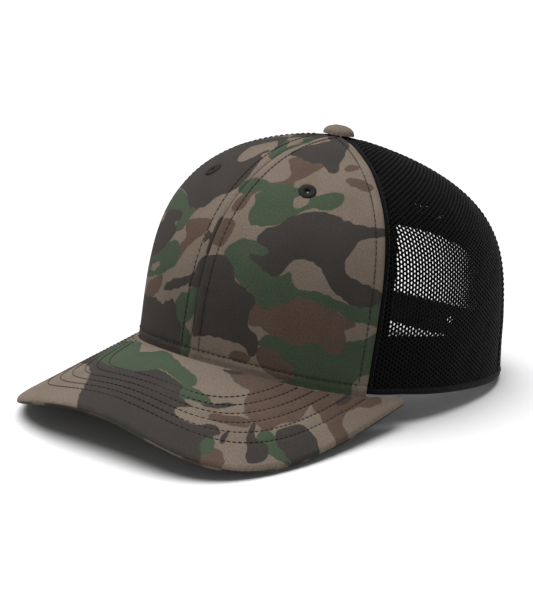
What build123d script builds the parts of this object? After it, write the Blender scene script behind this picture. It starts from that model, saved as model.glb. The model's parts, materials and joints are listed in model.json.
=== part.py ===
from build123d import *
from functools import lru_cache
from math import atan2, cos, degrees, hypot, pi, radians, sin, sqrt
import os

import numpy as np

# A six-panel trucker cap. Millimetres and degrees.
#
# Everything is shaped in the head frame: origin at the centre of the head opening,
# +X to the wearer's left, -Y the way the visor points, +Z up the wearer's head.
# An angle "turn" goes round the head from the visor's middle (0) over the wearer's left
# ear (90) to the back (180). A height "rise" is measured along the cloth from the rim.
# A "depth" is measured inwards from the outside of the crown.
# At the end every piece is tipped and shifted so that the cap stands on z = 0, on the
# visor's two low corners and the back of the rim, centred over the origin.

# Standing
STAND_TILT = 9.70
STAND_BACK = 35.3
STAND_UP = 15.29

# Head opening
RIM_HALF_LENGTH = 100.1
RIM_HALF_WIDTH = 83.7
RIM_WIDEST_BACK = 8.6
FRONT_ROUND = 1.96
BACK_ROUND = 2.59
RIM_BACK_RISE = 1.7

# Crown: four values each, at the visor's middle, front seam, back seam and middle back
CROWN_HEIGHT = 108.5
CROWN_TIP_FORWARD = 7.5
TOP_FULLNESS = (1.81, 1.64, 1.56, 1.52)
WALL_FULLNESS = (2.84, 4.48, 5.00, 2.58)
WALL_LEAN_IN = 0.051
WALL_LEAN_FRONT = 0.119

# Panels and seams
FRONT_SEAM = 57.0
BACK_SEAM = 120.0
SEAM_GAP = 0.4
TIP_RADIUS = 3.4
FABRIC = 0.45
BACKING = 0.45
MESH = 1.1
LAYER_GAP = 0.3
VISOR_TUCK = 3.0
TAPE_WIDTH = 14.0
TAPE = 0.4
TAPE_DEPTH = 1.55
TAPE_FAN = 26.0
TAPE_TIP_GAP = 5.4
SEAM_STITCH = 5.2
BASE_STITCH = 4.0
THREAD = 0.5
THREAD_PROUD = 0.25
THREAD_GAP = 0.2
THREAD_TOP_GAP = 3.0
THREAD_RING_END = 4.5
CLOTH_ROWS = 34
PANEL_COLUMNS = 13

# Sweatband
LINING_DEPTH = 2.3
LINING = 1.3
BAND_DEPTH = 4.05
BAND = 0.8
BAND_HEIGHT = 27.5
BAND_END = 142.5
BAND_LOW = 1.0
BAND_HEM = 1.5
LABEL_WIDTH = 22.0
LABEL_HEIGHT = 16.0
LABEL_TURN = 112.0
LABEL = 0.25

# Visor
VISOR_SLOPE = 0.334
VISOR_RADIUS = 124.5
VISOR_LENGTH = 62.9
VISOR_HALF_WIDTH = 79.9
VISOR_ROUND = 3.6
VISOR_END = 67.5
VISOR_COVER = 0.7
VISOR_BOARD = 2.0
VISOR_EDGE = 1.6
VISOR_GAP = 0.1
VISOR_ROWS = 6
VISOR_ROW_FIRST = 11.0
VISOR_ROW_STEP = 4.8

# Eyelets
EYELET_TURN = 28.0
EYELET_RISE = 93.0
EYELET_R = 4.3
EYELET_BARREL_R = 2.1
EYELET_HOLE_R = 1.5
EYELET_FLANGE = 0.5

# Button
BUTTON_R = 7.8
BUTTON_HEIGHT = 5.2
BUTTON_COVER = 0.5
BUTTON_SHELL = 0.7
BUTTON_GAP = 0.05
RIVET_R = 1.6
WASHER_R = 6.5
WASHER = 1.0
WASHER_DROP = 1.3
RIVET_HEAD = 0.6
RIVET_HEAD_R = 2.7

# Rear opening
ARCH_HALF_WIDTH = 50.0
ARCH_SPRING = 24.0
ARCH_TOP = 64.5
ARCH_ROUND = 2.5
ARCH_LEG = 36.0
ARCH_FOOT = -12.0
ARCH_CUT_FRONT = 40.0
ARCH_CUT_BACK = 130.0
BINDING_WIDTH = 2.2

# Snap strap
STRAP_BACK = 91.0
STRAP_LEAN = 7.5
STRAP_MIDDLE = 15.0
STRAP_HEIGHT = 17.0
STRAP = 1.4
STRAP_GAP = 0.1
STRAP_CORNER = 6.0
HINGE_X = 35.0
HINGE_GAP = 0.08
STRAP_FREE_END = 20.0
SNAP_PITCH = 7.5
SNAP_FIRST = -15.0
SNAP_COUNT = 6
PEG_R = 1.8
PEG_LENGTH = 2.75
SNAP_HOLE_R = 2.25
ROOT_START_TURN = 155.0
ROOT_END_TURN = 136.0
ROOT_BEND = 0.4
ROOT_REACH = 30.0


# ---------------------------------------------------------------- the crown's surface


@lru_cache(maxsize=None)
def cosine_weights(values):
    """Weights of 1, cos, cos 2 and cos 3 that pass through values at 0, 60, 120, 180."""
    turns = [0, 60, 120, 180]
    rows = [[cos(radians(k * turn)) for k in range(4)] for turn in turns]
    return np.linalg.solve(rows, values)


def around(values, turn):
    """A value that changes smoothly round the head."""
    return sum(w * cos(radians(k * turn)) for k, w in enumerate(cosine_weights(values)))


def rim_xy(turn):
    """The head opening seen from above, on the outside of the cloth."""
    c, s = cos(radians(turn)), sin(radians(turn))
    n = FRONT_ROUND if c > 0 else BACK_ROUND
    reach = RIM_HALF_LENGTH + (RIM_WIDEST_BACK if c > 0 else -RIM_WIDEST_BACK)
    k = (abs(c) ** n + abs(s) ** n) ** (-1 / n)
    return RIM_HALF_WIDTH * k * s, RIM_WIDEST_BACK - reach * k * c


def visor_z(x, y):
    """The visor's top: an arch of one radius that slopes down to the front."""
    return VISOR_SLOPE * (y + RIM_HALF_LENGTH) - VISOR_RADIUS + sqrt(VISOR_RADIUS**2 - x * x)


def rim_z(turn):
    """The rim follows the visor's root, then runs smoothly to the back."""
    turn = abs(turn)
    if turn < VISOR_END:
        return visor_z(*rim_xy(turn))
    start = visor_z(*rim_xy(VISOR_END))
    w = min(1.0, (turn - VISOR_END) / (180 - VISOR_END))
    return start + (RIM_BACK_RISE - start) * (3 * w * w - 2 * w**3)


@lru_cache(maxsize=None)
def meridian(turn):
    """One line up the crown, from rim to tip, as (length so far, points)."""
    top, wall = around(TOP_FULLNESS, turn), around(WALL_FULLNESS, turn)
    x, y = rim_xy(turn)
    low = rim_z(turn)
    lean = WALL_LEAN_IN - WALL_LEAN_FRONT * cos(radians(turn))
    swing = (1 - np.linspace(0, 1, 600) ** 3) * pi / 2
    out = np.sin(swing) ** (2 / top)
    up = np.cos(swing) ** (2 / wall)
    width = out * (1 - lean * up)
    points = np.stack(
        [
            width * x,
            width * y - CROWN_TIP_FORWARD * (1 - out),
            low + (CROWN_HEIGHT - low) * up,
        ],
        axis=1,
    )
    lengths = np.linalg.norm(np.diff(points, axis=0), axis=1)
    return np.concatenate([[0], np.cumsum(lengths)]), points


def length_up(turn):
    """Length of cloth from rim to tip."""
    return meridian(turn)[0][-1]


def skin(turn, rise):
    """A point on the outside of the crown."""
    lengths, points = meridian(turn)
    place = np.array([np.interp(max(rise, 0), lengths, points[:, i]) for i in range(3)])
    return place + np.array([0, 0, min(rise, 0)])


def outward(turn, rise):
    """The crown's outward direction at a point."""
    step = 0.6
    rise = min(max(rise, step), length_up(turn) - step)
    round_head = skin(turn + step, rise) - skin(turn - step, rise)
    up_cloth = skin(turn, rise + step) - skin(turn, rise - step)
    normal = np.cross(round_head, up_cloth)
    return normal / np.linalg.norm(normal)


def inside(turn, rise, depth):
    """A point at a depth below the outside of the crown."""
    return skin(turn, rise) - depth * outward(turn, rise)


def degrees_across(turn, rise, length):
    """The turn that moves a point sideways by a length of cloth."""
    step = 0.5
    rise = min(rise, length_up(turn) - 1.0)
    ahead = skin(turn + step, rise) - skin(turn - step, rise)
    return length / np.linalg.norm(ahead) * 2 * step


def tip_distance(turn, rise):
    """Distance from the crown's tip seen from above."""
    x, y, _ = skin(turn, rise)
    return hypot(x, y + CROWN_TIP_FORWARD)


# ---------------------------------------------------------------- solids from sheets


def sheet(outer, inner):
    """A closed solid between two grids of points."""
    front, back = (
        Face.make_surface_from_array_of_points(
            [[Vector(*p) for p in row] for row in grid], tol=0.02, min_deg=3, max_deg=3
        )
        for grid in (outer, inner)
    )
    faces = [front, back]
    for edge in front.edges():
        middle = edge.position_at(0.5)
        partner = min(back.edges(), key=lambda e: (e.position_at(0.5) - middle).length)
        faces.append(Face.make_surface_from_curves(edge, partner))
    solid = Solid(Shell(faces))
    return solid if solid.volume > 0 else Solid(Shell([-face for face in faces]))


def spread(start, end, count):
    """Evenly spaced values, both ends included."""
    return [start + (end - start) * i / (count - 1) for i in range(count)]


def layer(left_edge, right_edge, rises, depths, columns):
    """A layer of the crown between two edges, each a turn as a function of rise."""
    grids = []
    for depth in depths:
        grid = [
            [
                inside(left_edge(rise) + (right_edge(rise) - left_edge(rise)) * u, rise, depth)
                for rise in rises
            ]
            for u in spread(0, 1, columns)
        ]
        grids.append(grid)
    return sheet(*grids)


def panel(start, end, low, depths):
    """One crown panel, from its lower edge up to the small hole at the tip."""
    grids = []
    for depth in depths:
        grid = []
        for u in spread(0, 1, PANEL_COLUMNS):
            turn = start + (end - start) * u
            column = []
            for rise in spread(low, length_up(turn) - TIP_RADIUS, CLOTH_ROWS):
                shift = (1 - 2 * u) * degrees_across(turn, rise, SEAM_GAP / 2)
                column.append(inside(turn + shift, rise, depth))
            grid.append(column)
        grids.append(grid)
    return sheet(*grids)


def tape(turn, low):
    """A seam tape inside the crown: even width, then tapering to the tip."""
    rises = spread(low, length_up(turn) - TAPE_TIP_GAP, CLOTH_ROWS)

    def edge(side):
        def at(rise):
            half = min(TAPE_WIDTH / 2, radians(TAPE_FAN) * tip_distance(turn, rise))
            return turn + side * degrees_across(turn, rise, half)

        return at

    return layer(edge(-1), edge(1), rises, (TAPE_DEPTH, TAPE_DEPTH + TAPE), 7)


def seam_thread(turn, offset, low, high):
    """One row of stitching that runs up the crown beside a seam."""
    rises = spread(low, high, 26)

    def edge(side):
        return lambda rise: turn + degrees_across(turn, rise, offset + side * THREAD / 2)

    return layer(edge(-1), edge(1), rises, (-THREAD_GAP - THREAD_PROUD, -THREAD_GAP), 3)


def ring_thread(start, end, rise):
    """One row of stitching that runs round the crown above the visor."""
    rises = [rise - THREAD / 2, rise, rise + THREAD / 2]
    depths = (-THREAD_GAP - THREAD_PROUD, -THREAD_GAP)
    return layer(lambda r: start, lambda r: end, rises, depths, 15)


def right_hand(shape):
    """The wearer's right-hand twin of a left-hand piece."""
    return mirror(shape, about=Plane.YZ)


# ---------------------------------------------------------------- crown pieces


def crown_frame(turn, rise):
    """A plane on the outside of the crown, with its normal pointing out."""
    return Plane(origin=Vector(*skin(turn, rise)), z_dir=Vector(*outward(turn, rise)))


def make_eyelet():
    """A sewn eyelet: a barrel through the cloth with a thread flange on each side."""
    under = FABRIC + BACKING + 2 * LAYER_GAP
    outer_flange = Pos(0, 0, LAYER_GAP / 2) * Cylinder(
        EYELET_R, EYELET_FLANGE, align=(Align.CENTER, Align.CENTER, Align.MIN)
    )
    inner_flange = Pos(0, 0, -under - LAYER_GAP) * Cylinder(
        EYELET_R - 0.8, EYELET_FLANGE, align=(Align.CENTER, Align.CENTER, Align.MAX)
    )
    barrel = Pos(0, 0, LAYER_GAP) * Cylinder(
        EYELET_BARREL_R, under + 3 * LAYER_GAP, align=(Align.CENTER, Align.CENTER, Align.MAX)
    )
    outer_flange = fillet(outer_flange.edges().group_by(Axis.Z)[-1], EYELET_FLANGE * 0.6)
    solid = outer_flange + inner_flange + barrel - Cylinder(EYELET_HOLE_R, 20)
    return crown_frame(EYELET_TURN, EYELET_RISE).location * solid


def eyelet_hole():
    """The round hole that an eyelet fills in the cloth."""
    hole = Cylinder(EYELET_BARREL_R + LAYER_GAP / 2, 8)
    return crown_frame(EYELET_TURN, EYELET_RISE).location * hole


def arch_prism():
    """The rear opening as a bar along Y."""
    swings = [radians(a) for a in spread(0, 180, 25)]
    crest = []
    for swing in swings:
        x = ARCH_HALF_WIDTH * abs(cos(swing)) ** (2 / ARCH_ROUND) * (1 if cos(swing) > 0 else -1)
        z = ARCH_SPRING + (ARCH_TOP - ARCH_SPRING) * abs(sin(swing)) ** (2 / ARCH_ROUND)
        crest.append(Vector(x, 0, z))
    left_foot = Vector(-ARCH_HALF_WIDTH, 0, ARCH_FOOT)
    right_foot = Vector(ARCH_HALF_WIDTH, 0, ARCH_FOOT)
    legs = [crest[-1], left_foot, right_foot, crest[0]]
    edges = [Spline(*crest, tangents=[(0, 0, 1), (0, 0, -1)])]
    edges += [Line(start, end) for start, end in zip(legs, legs[1:])]
    face = Face(Wire(edges))
    bar = extrude(face, amount=ARCH_CUT_BACK - ARCH_CUT_FRONT, dir=(0, 1, 0))
    return Pos(0, ARCH_CUT_FRONT, 0) * bar


def make_crown():
    """Panels, backing, tapes, stitching and the bound rear opening."""
    parts = {}
    hole = eyelet_hole()
    backing_depth = FABRIC + LAYER_GAP
    front = panel(0, FRONT_SEAM, -VISOR_TUCK, (0, FABRIC)) - hole
    backing = panel(0, FRONT_SEAM, BAND_LOW, (backing_depth, backing_depth + BACKING)) - hole
    side = panel(FRONT_SEAM, BACK_SEAM, 0, (0, MESH))
    rear = panel(BACK_SEAM, 180, 0, (0, MESH)) - arch_prism()
    eyelet = make_eyelet()
    front_tape = tape(FRONT_SEAM, BAND_LOW)
    back_tape = tape(BACK_SEAM, BAND_LOW)
    left = {
        "front_panel": front,
        "front_backing": backing,
        "side_mesh": side,
        "rear_mesh": rear,
        "eyelet": eyelet,
        "front_seam_tape": front_tape,
        "back_seam_tape": back_tape,
    }
    for name, shape in left.items():
        parts[name + "_left"] = shape
        parts[name + "_right"] = right_hand(shape)

    parts["centre_seam_tape"] = tape(0, BAND_LOW)
    above_arch = rise_at_height(180, ARCH_TOP) + SEAM_STITCH
    parts["rear_seam_tape"] = tape(180, above_arch)

    low = BASE_STITCH + 2 * THREAD
    high = length_up(0) - BUTTON_R - SEAM_STITCH - THREAD_TOP_GAP
    rows = [
        seam_thread(0, SEAM_STITCH, low, high),
        seam_thread(FRONT_SEAM, -SEAM_STITCH, low, high),
        ring_thread(SEAM_STITCH / 2, FRONT_SEAM - THREAD_RING_END, BASE_STITCH),
    ]
    rows += [right_hand(row) for row in rows]
    parts["crown_stitching"] = Compound(children=rows)
    parts["arch_binding"] = make_binding()
    return parts


def rise_at_height(turn, z):
    """The rise at which a line up the crown reaches a height."""
    lengths, points = meridian(turn)
    return float(np.interp(z, points[:, 2], lengths))


def turn_at(x, z):
    """The turn at which the crown's outside passes through a width and a height."""
    low, high = 90.0, 180.0
    for _ in range(24):
        middle = (low + high) / 2
        if skin(middle, rise_at_height(middle, z))[0] > x:
            low = middle
        else:
            high = middle
    return (low + high) / 2


def arch_point(swing, inset, depth):
    """A point beside the rear opening's edge, with swing from 0 to 180 over the crest.

    Below 0 and above 180 the edge runs straight down to the rim.
    """
    over = min(max(swing, 0), 180)
    half, rise = ARCH_HALF_WIDTH - inset, ARCH_TOP - ARCH_SPRING - inset
    x = half * abs(cos(radians(over))) ** (2 / ARCH_ROUND)
    z = ARCH_SPRING + rise * abs(sin(radians(over))) ** (2 / ARCH_ROUND)
    z -= (abs(swing - over) / ARCH_LEG) * (ARCH_SPRING - RIM_BACK_RISE)
    turn = turn_at(x, z)
    place = inside(turn, rise_at_height(turn, z), depth)
    return (place[0] * (1 if over <= 90 else -1), place[1], place[2])


def make_binding():
    """The binding round the edge of the rear opening."""
    insets = spread(LAYER_GAP, BINDING_WIDTH, 3)
    swings = spread(-ARCH_LEG, 180 + ARCH_LEG, 41)
    return sheet(
        *[
            [[arch_point(swing, inset, depth) for inset in insets] for swing in swings]
            for depth in (-LAYER_GAP, MESH + LAYER_GAP)
        ]
    )


def make_sweatband():
    """Sweatband, the padding behind it and a blank care label."""

    def band(start, end, rises, depth, thickness, columns):
        return layer(lambda r: start, lambda r: end, rises, (depth, depth + thickness), columns)

    lining_end = ROOT_END_TURN - 3.0
    rises = spread(BAND_LOW + BAND_HEM, BAND_HEIGHT - BAND_HEM, 5)
    lining = band(-lining_end, lining_end, rises, LINING_DEPTH, LINING, 27)
    rises = spread(BAND_LOW, BAND_HEIGHT, 5)
    sweatband = band(-BAND_END, BAND_END, rises, BAND_DEPTH, BAND, 29)
    middle = (BAND_LOW + BAND_HEIGHT) / 2
    half = degrees_across(LABEL_TURN, middle, LABEL_WIDTH / 2)
    rises = spread(middle - LABEL_HEIGHT / 2, middle + LABEL_HEIGHT / 2, 4)
    depth = BAND_DEPTH + BAND + LAYER_GAP
    label = band(LABEL_TURN - half, LABEL_TURN + half, rises, depth, LABEL, 5)
    return {"sweatband": sweatband, "sweatband_lining": lining, "care_label": label}


# ---------------------------------------------------------------- visor


def visor_front_y(x, inset):
    """The visor's front edge seen from above, moved inwards by an inset."""
    half = VISOR_HALF_WIDTH - inset
    side_y = rim_xy(VISOR_END)[1]
    reach = side_y + RIM_HALF_LENGTH + VISOR_LENGTH - inset
    return side_y - reach * max(0.0, 1 - abs(x / half) ** VISOR_ROUND) ** (1 / VISOR_ROUND)


def visor_lead(inset, swing):
    """A point of the front edge, with swing from -90 at one side to 90 at the other."""
    half = VISOR_HALF_WIDTH - inset
    power = 2 / VISOR_ROUND
    x = half * abs(sin(radians(swing))) ** power * (1 if swing > 0 else -1)
    return x, visor_front_y(x, inset)


def visor_blank(inset, root_gap):
    """The visor's outline as a tall block, from the crown's foot to the front edge."""
    lead = [Vector(*visor_lead(inset, swing), 0) for swing in spread(-90, 90, 41)]
    root = []
    for turn in spread(VISOR_END, -VISOR_END, 31):
        x, y = rim_xy(turn)
        out = Vector(x / RIM_HALF_WIDTH**2, (y - RIM_WIDEST_BACK) / RIM_HALF_LENGTH**2, 0)
        root.append(Vector(x, y, 0) + out.normalized() * root_gap)
    edges = [Spline(*lead), Line(lead[-1], root[0]), Spline(*root), Line(root[-1], lead[0])]
    return Pos(0, 0, -90) * extrude(Face(Wire(edges)), amount=160, dir=(0, 0, 1))


def visor_slab(top, bottom):
    """The space between two depths below the visor's top, made of coaxial arches."""
    slant = sqrt(1 + VISOR_SLOPE**2)
    reach = 1.1 * VISOR_HALF_WIDTH
    arcs = []
    for depth in (top, bottom):
        r = VISOR_RADIUS - depth * slant
        high = sqrt(r * r - reach * reach)
        arcs.append([(-reach, high), (0, r), (reach, high)])
    upper, lower = arcs
    face = Face(
        Wire(
            [
                ThreePointArc(*upper),
                Line(upper[2], lower[2]),
                ThreePointArc(*reversed(lower)),
                Line(lower[0], upper[0]),
            ]
        )
    )
    back, front = 30.0, -230.0
    lift = VISOR_SLOPE * (back + RIM_HALF_LENGTH) - VISOR_RADIUS
    start = Pos(0, back, lift) * (Plane.XZ * face)
    forward = Vector(0, -1, -VISOR_SLOPE).normalized()
    return extrude(start, amount=(back - front) * slant, dir=forward)


def visor_thread(inset):
    """One row of stitching along the visor."""
    swings = [s for s in spread(-90, 90, 91) if outside_crown(visor_lead(inset, s))]
    grids = []
    for lift in (THREAD_PROUD + THREAD_GAP, THREAD_GAP):
        grid = []
        for side in (-1, 1):
            row = []
            for swing in swings:
                x, y = visor_lead(inset + side * THREAD / 2, swing)
                row.append((x, y, visor_z(x, y) + lift))
            grid.append(row)
        grids.append(grid)
    return sheet(*grids)


def outside_crown(point):
    """True where a point of the visor is clear of the crown's foot."""
    x, y = point
    turn = degrees(atan2(x / RIM_HALF_WIDTH, (RIM_WIDEST_BACK - y) / RIM_HALF_LENGTH))
    rx, ry = rim_xy(turn)
    return hypot(x, y - RIM_WIDEST_BACK) > hypot(rx, ry - RIM_WIDEST_BACK) + 2.0


def make_visor():
    """A stiff board between two covers that meet at half thickness round the edge."""
    root_gap = 0.3
    total = 2 * (VISOR_COVER + VISOR_GAP) + VISOR_BOARD
    half = total / 2
    blank = visor_blank(0, root_gap)
    pocket = visor_blank(VISOR_EDGE - VISOR_GAP, -5) & visor_slab(
        VISOR_COVER, total - VISOR_COVER
    )
    board_low = total - VISOR_COVER - VISOR_GAP
    board = visor_blank(VISOR_EDGE, root_gap) & visor_slab(VISOR_COVER + VISOR_GAP, board_low)
    top = (blank & visor_slab(0, half - VISOR_GAP / 2)) - pocket
    under = (blank & visor_slab(half + VISOR_GAP / 2, total)) - pocket
    rows = [visor_thread(VISOR_ROW_FIRST + i * VISOR_ROW_STEP) for i in range(VISOR_ROWS)]
    return {
        "visor_board": board,
        "visor_top_cover": top,
        "visor_under_cover": under,
        "visor_stitching": Compound(children=rows),
    }


# ---------------------------------------------------------------- button


def dome(radius, height, low):
    """A shallow dome of a radius and height, standing on a level."""
    profile = [(0, low), (radius, low)]
    arc = [
        (radius * cos(a), low + height * sin(a) ** 0.8)
        for a in (radians(v) for v in spread(0, 90, 13))
    ]
    edges = [Line(*profile), Spline(*arc), Line(arc[-1], profile[0])]
    face = Plane.XZ * Face(Wire(edges))
    return revolve(face, Axis.Z)


def make_button():
    """Covered button: cloth over a metal shell, riveted through to an inner washer."""
    seat = CROWN_HEIGHT + LAYER_GAP
    cap = BUTTON_HEIGHT - LAYER_GAP
    cover = dome(BUTTON_R, cap, seat) - dome(BUTTON_R - BUTTON_COVER, cap - BUTTON_COVER, seat)
    shell_r = BUTTON_R - BUTTON_COVER - BUTTON_GAP
    shell_h = cap - BUTTON_COVER - BUTTON_GAP
    bore = dome(shell_r - BUTTON_SHELL, shell_h - BUTTON_SHELL, seat)
    shell = dome(shell_r, shell_h, seat) - bore
    foot = CROWN_HEIGHT - TAPE_DEPTH - TAPE - WASHER_DROP - WASHER
    stem_high = seat + shell_h - BUTTON_SHELL - 1.5 * RIVET_HEAD
    stem_low = foot - RIVET_HEAD - BUTTON_GAP
    upright = (Align.CENTER, Align.CENTER, Align.MIN)
    plate = Cylinder(RIVET_HEAD_R, RIVET_HEAD, align=upright)
    stem = Pos(0, 0, stem_low) * Cylinder(RIVET_R, stem_high - stem_low, align=upright)
    head = Pos(0, 0, stem_high - RIVET_HEAD) * plate
    tail = Pos(0, 0, stem_low) * plate
    washer = Pos(0, 0, foot) * (
        Cylinder(WASHER_R, WASHER, align=upright) - Cylinder(RIVET_R + BUTTON_GAP, 2 * WASHER_R)
    )
    rivet = stem + head + tail
    place = Pos(0, -CROWN_TIP_FORWARD, 0)
    shapes = {
        "button_cover": cover,
        "button_shell": shell,
        "button_rivet": rivet,
        "button_washer": washer,
    }
    return {name: place * shape for name, shape in shapes.items()}


# ---------------------------------------------------------------- snap strap


def strap_plane():
    """The strap's flat run: local X across, Y outwards, Z up the strap."""
    return Pos(0, STRAP_BACK, STRAP_MIDDLE) * Rot(STRAP_LEAN, 0, 0)


def strap_blank(hinge_x, free_x, low_y):
    """A flat strap with a half-round hinge end and rounded free corners."""
    reach = abs(free_x - hinge_x)
    side = 1 if free_x > hinge_x else -1
    middle = (hinge_x + free_x) / 2
    bar = Pos(middle, low_y + STRAP / 2, 0) * Box(reach, STRAP, STRAP_HEIGHT)
    corners = bar.edges().filter_by(Axis.Y).sort_by(Axis.X)
    corners = corners[-2:] if side > 0 else corners[:2]
    bar = fillet(corners, STRAP_CORNER)
    knuckle = Pos(hinge_x, low_y + STRAP / 2, 0) * Cylinder(STRAP / 2, STRAP_HEIGHT)
    return bar + knuckle


def snap_places():
    """Where the strap's snaps lie along the hole strap."""
    return [SNAP_FIRST + i * SNAP_PITCH for i in range(SNAP_COUNT)]


def strap_root(low_y):
    """The sewn end of the left strap: from the hinge to its place under the sweatband."""
    start_x = HINGE_X + STRAP / 2 + HINGE_GAP
    flat = strap_plane()
    steps = 12
    grids = []
    for layer_index in (0, 1):
        grid = []
        for i in range(steps + 1):
            u = i / steps
            turn = ROOT_START_TURN + (ROOT_END_TURN - ROOT_START_TURN) * u
            blend = min(1.0, u / ROOT_BEND)
            blend = blend * blend * (3 - 2 * blend)
            row = []
            for height in spread(-STRAP_HEIGHT / 2, STRAP_HEIGHT / 2, 5):
                rise = rise_at_height(turn, STRAP_MIDDLE + height)
                cloth = inside(turn, rise, LINING_DEPTH + layer_index * STRAP)
                local_y = low_y + (1 - layer_index) * STRAP
                level = (flat * Pos(start_x + ROOT_REACH * u, local_y, height)).position
                row.append(np.array(tuple(level)) * (1 - blend) + cloth * blend)
            grid.append(row)
        grids.append(grid)
    return sheet(*grids)


def make_straps():
    """Two snap straps, each with a root that is sewn to the crown."""
    flat = strap_plane()
    outer_y = STRAP_GAP / 2
    inner_y = -STRAP_GAP / 2 - STRAP
    hole_strap = strap_blank(HINGE_X, -STRAP_FREE_END, outer_y)
    peg_strap = strap_blank(-HINGE_X, STRAP_FREE_END, inner_y)
    for x in snap_places():
        along_y = Pos(x, 0, 0) * Rot(90, 0, 0)
        hole_strap -= along_y * Cylinder(SNAP_HOLE_R, 8)
        peg = Cylinder(PEG_R, PEG_LENGTH, align=(Align.CENTER, Align.CENTER, Align.MAX))
        peg = chamfer(peg.edges().sort_by(Axis.Z)[0], 0.5)
        peg_strap += Pos(-x, -STRAP_GAP / 2, 0) * Rot(90, 0, 0) * peg
    return {
        "strap_with_holes": flat * hole_strap,
        "strap_with_pegs": flat * peg_strap,
        "strap_root_left": strap_root(outer_y),
        "strap_root_right": right_hand(strap_root(inner_y)),
    }


# ---------------------------------------------------------------- the whole cap


def main():
    parts = {}
    parts.update(make_crown())
    parts.update(make_sweatband())
    parts.update(make_visor())
    parts.update(make_button())
    parts.update(make_straps())
    standing = Pos(0, STAND_BACK, STAND_UP) * Rot(-STAND_TILT, 0, 0)
    os.makedirs("parts", exist_ok=True)
    for name, shape in parts.items():
        export_step(standing * shape, f"parts/{name}.step")


main()
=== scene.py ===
import json
import math

import bpy
import numpy as np
from mathutils import Matrix, Vector


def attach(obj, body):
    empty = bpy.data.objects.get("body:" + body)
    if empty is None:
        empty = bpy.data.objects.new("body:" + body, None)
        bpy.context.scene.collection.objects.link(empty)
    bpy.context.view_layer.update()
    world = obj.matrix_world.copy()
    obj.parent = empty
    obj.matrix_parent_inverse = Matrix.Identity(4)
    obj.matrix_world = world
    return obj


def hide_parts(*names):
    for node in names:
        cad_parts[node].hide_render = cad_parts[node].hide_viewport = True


# A six-panel trucker cap. Shapes are worked out in millimetres in the head frame: origin at
# the centre of the head opening, +X to the wearer's left, -Y the way the visor points, +Z up
# the wearer's head. "turn" goes round the head from the visor's middle (0) over the wearer's
# left ear (90) to the back (180), "rise" is measured up the cloth from the rim, and "depth"
# inwards from the outside of the crown.

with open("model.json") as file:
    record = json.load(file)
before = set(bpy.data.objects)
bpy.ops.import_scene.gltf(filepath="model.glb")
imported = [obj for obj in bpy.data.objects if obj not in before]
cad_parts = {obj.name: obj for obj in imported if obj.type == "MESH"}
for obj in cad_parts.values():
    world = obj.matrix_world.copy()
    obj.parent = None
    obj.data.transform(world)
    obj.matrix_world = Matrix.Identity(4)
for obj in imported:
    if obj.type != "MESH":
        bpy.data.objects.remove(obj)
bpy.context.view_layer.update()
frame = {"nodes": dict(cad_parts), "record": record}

# ---------------------------------------------------------------- sizes, as in the CAD

RIM_HALF_LENGTH = 100.1
RIM_HALF_WIDTH = 83.7
RIM_WIDEST_BACK = 8.6
FRONT_ROUND = 1.96
BACK_ROUND = 2.59
RIM_BACK_RISE = 1.7
CROWN_HEIGHT = 108.5
CROWN_TIP_FORWARD = 7.5
TOP_FULLNESS = (1.81, 1.64, 1.56, 1.52)
WALL_FULLNESS = (2.84, 4.48, 5.00, 2.58)
WALL_LEAN_IN = 0.051
WALL_LEAN_FRONT = 0.119
FRONT_SEAM = 57.0
BACK_SEAM = 120.0
HALF_SEAM_GAP = 0.15
TIP_RADIUS = 3.4
FABRIC = 0.45
VISOR_TUCK = 3.0
SEAM_STITCH = 5.2
BASE_STITCH = 4.0
VISOR_SLOPE = 0.334
VISOR_RADIUS = 124.5
VISOR_LENGTH = 62.9
VISOR_HALF_WIDTH = 79.9
VISOR_ROUND = 3.6
VISOR_END = 67.5
VISOR_THICK = 3.6
VISOR_ROW_FRONT = 14.0
VISOR_ROW_SIDE = 9.0
VISOR_ROW_STEP = 4.75
VISOR_ROWS = 6
EYELET_TURN = 28.0
EYELET_RISE = 93.0
EYELET_HOLE_R = 1.9
BACKING_OUT = 0.78
BACKING_IN = 1.2
BUTTON_R = 7.8
BUTTON_HEIGHT = 5.2
ARCH_HALF_WIDTH = 50.0
ARCH_SPRING = 24.0
ARCH_TOP = 64.5
ARCH_ROUND = 2.5
ARCH_LEG = 36.0
BAND_END = 142.5
BAND_LOW = 1.0
BAND_HIGH = 27.5
MM = 0.001

mounts = {mount["name"]: mount for mount in frame["record"]["mounts"]}
opening = mounts["head_opening"]
HEAD_ORIGIN = np.array(opening["pos_m"])
tilt_sin, tilt_cos = opening["axis"][1], -opening["axis"][2]
HEAD_TURN = np.array([[1, 0, 0], [0, tilt_cos, -tilt_sin], [0, tilt_sin, tilt_cos]])


def to_row(points):
    """Head-frame millimetres to row-frame metres."""
    return np.asarray(points) @ HEAD_TURN.T * MM + HEAD_ORIGIN


# ---------------------------------------------------------------- the crown's surface

TURN_STEP = 0.5
TURNS = np.arange(0, 180 + TURN_STEP / 2, TURN_STEP)
TABLE_ROWS = 500
LINE_POINTS = 600
TIP_ROWS = 8  # rows at the tip that share one normal, because their lines meet there
TIP_MARGIN = 1.5


def around(values, turn):
    """A value that passes through four values at 0, 60, 120 and 180 degrees."""
    rows = [[math.cos(math.radians(k * t)) for k in range(4)] for t in (0, 60, 120, 180)]
    weights = np.linalg.solve(rows, values)
    return sum(w * np.cos(np.radians(k * turn)) for k, w in enumerate(weights))


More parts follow.
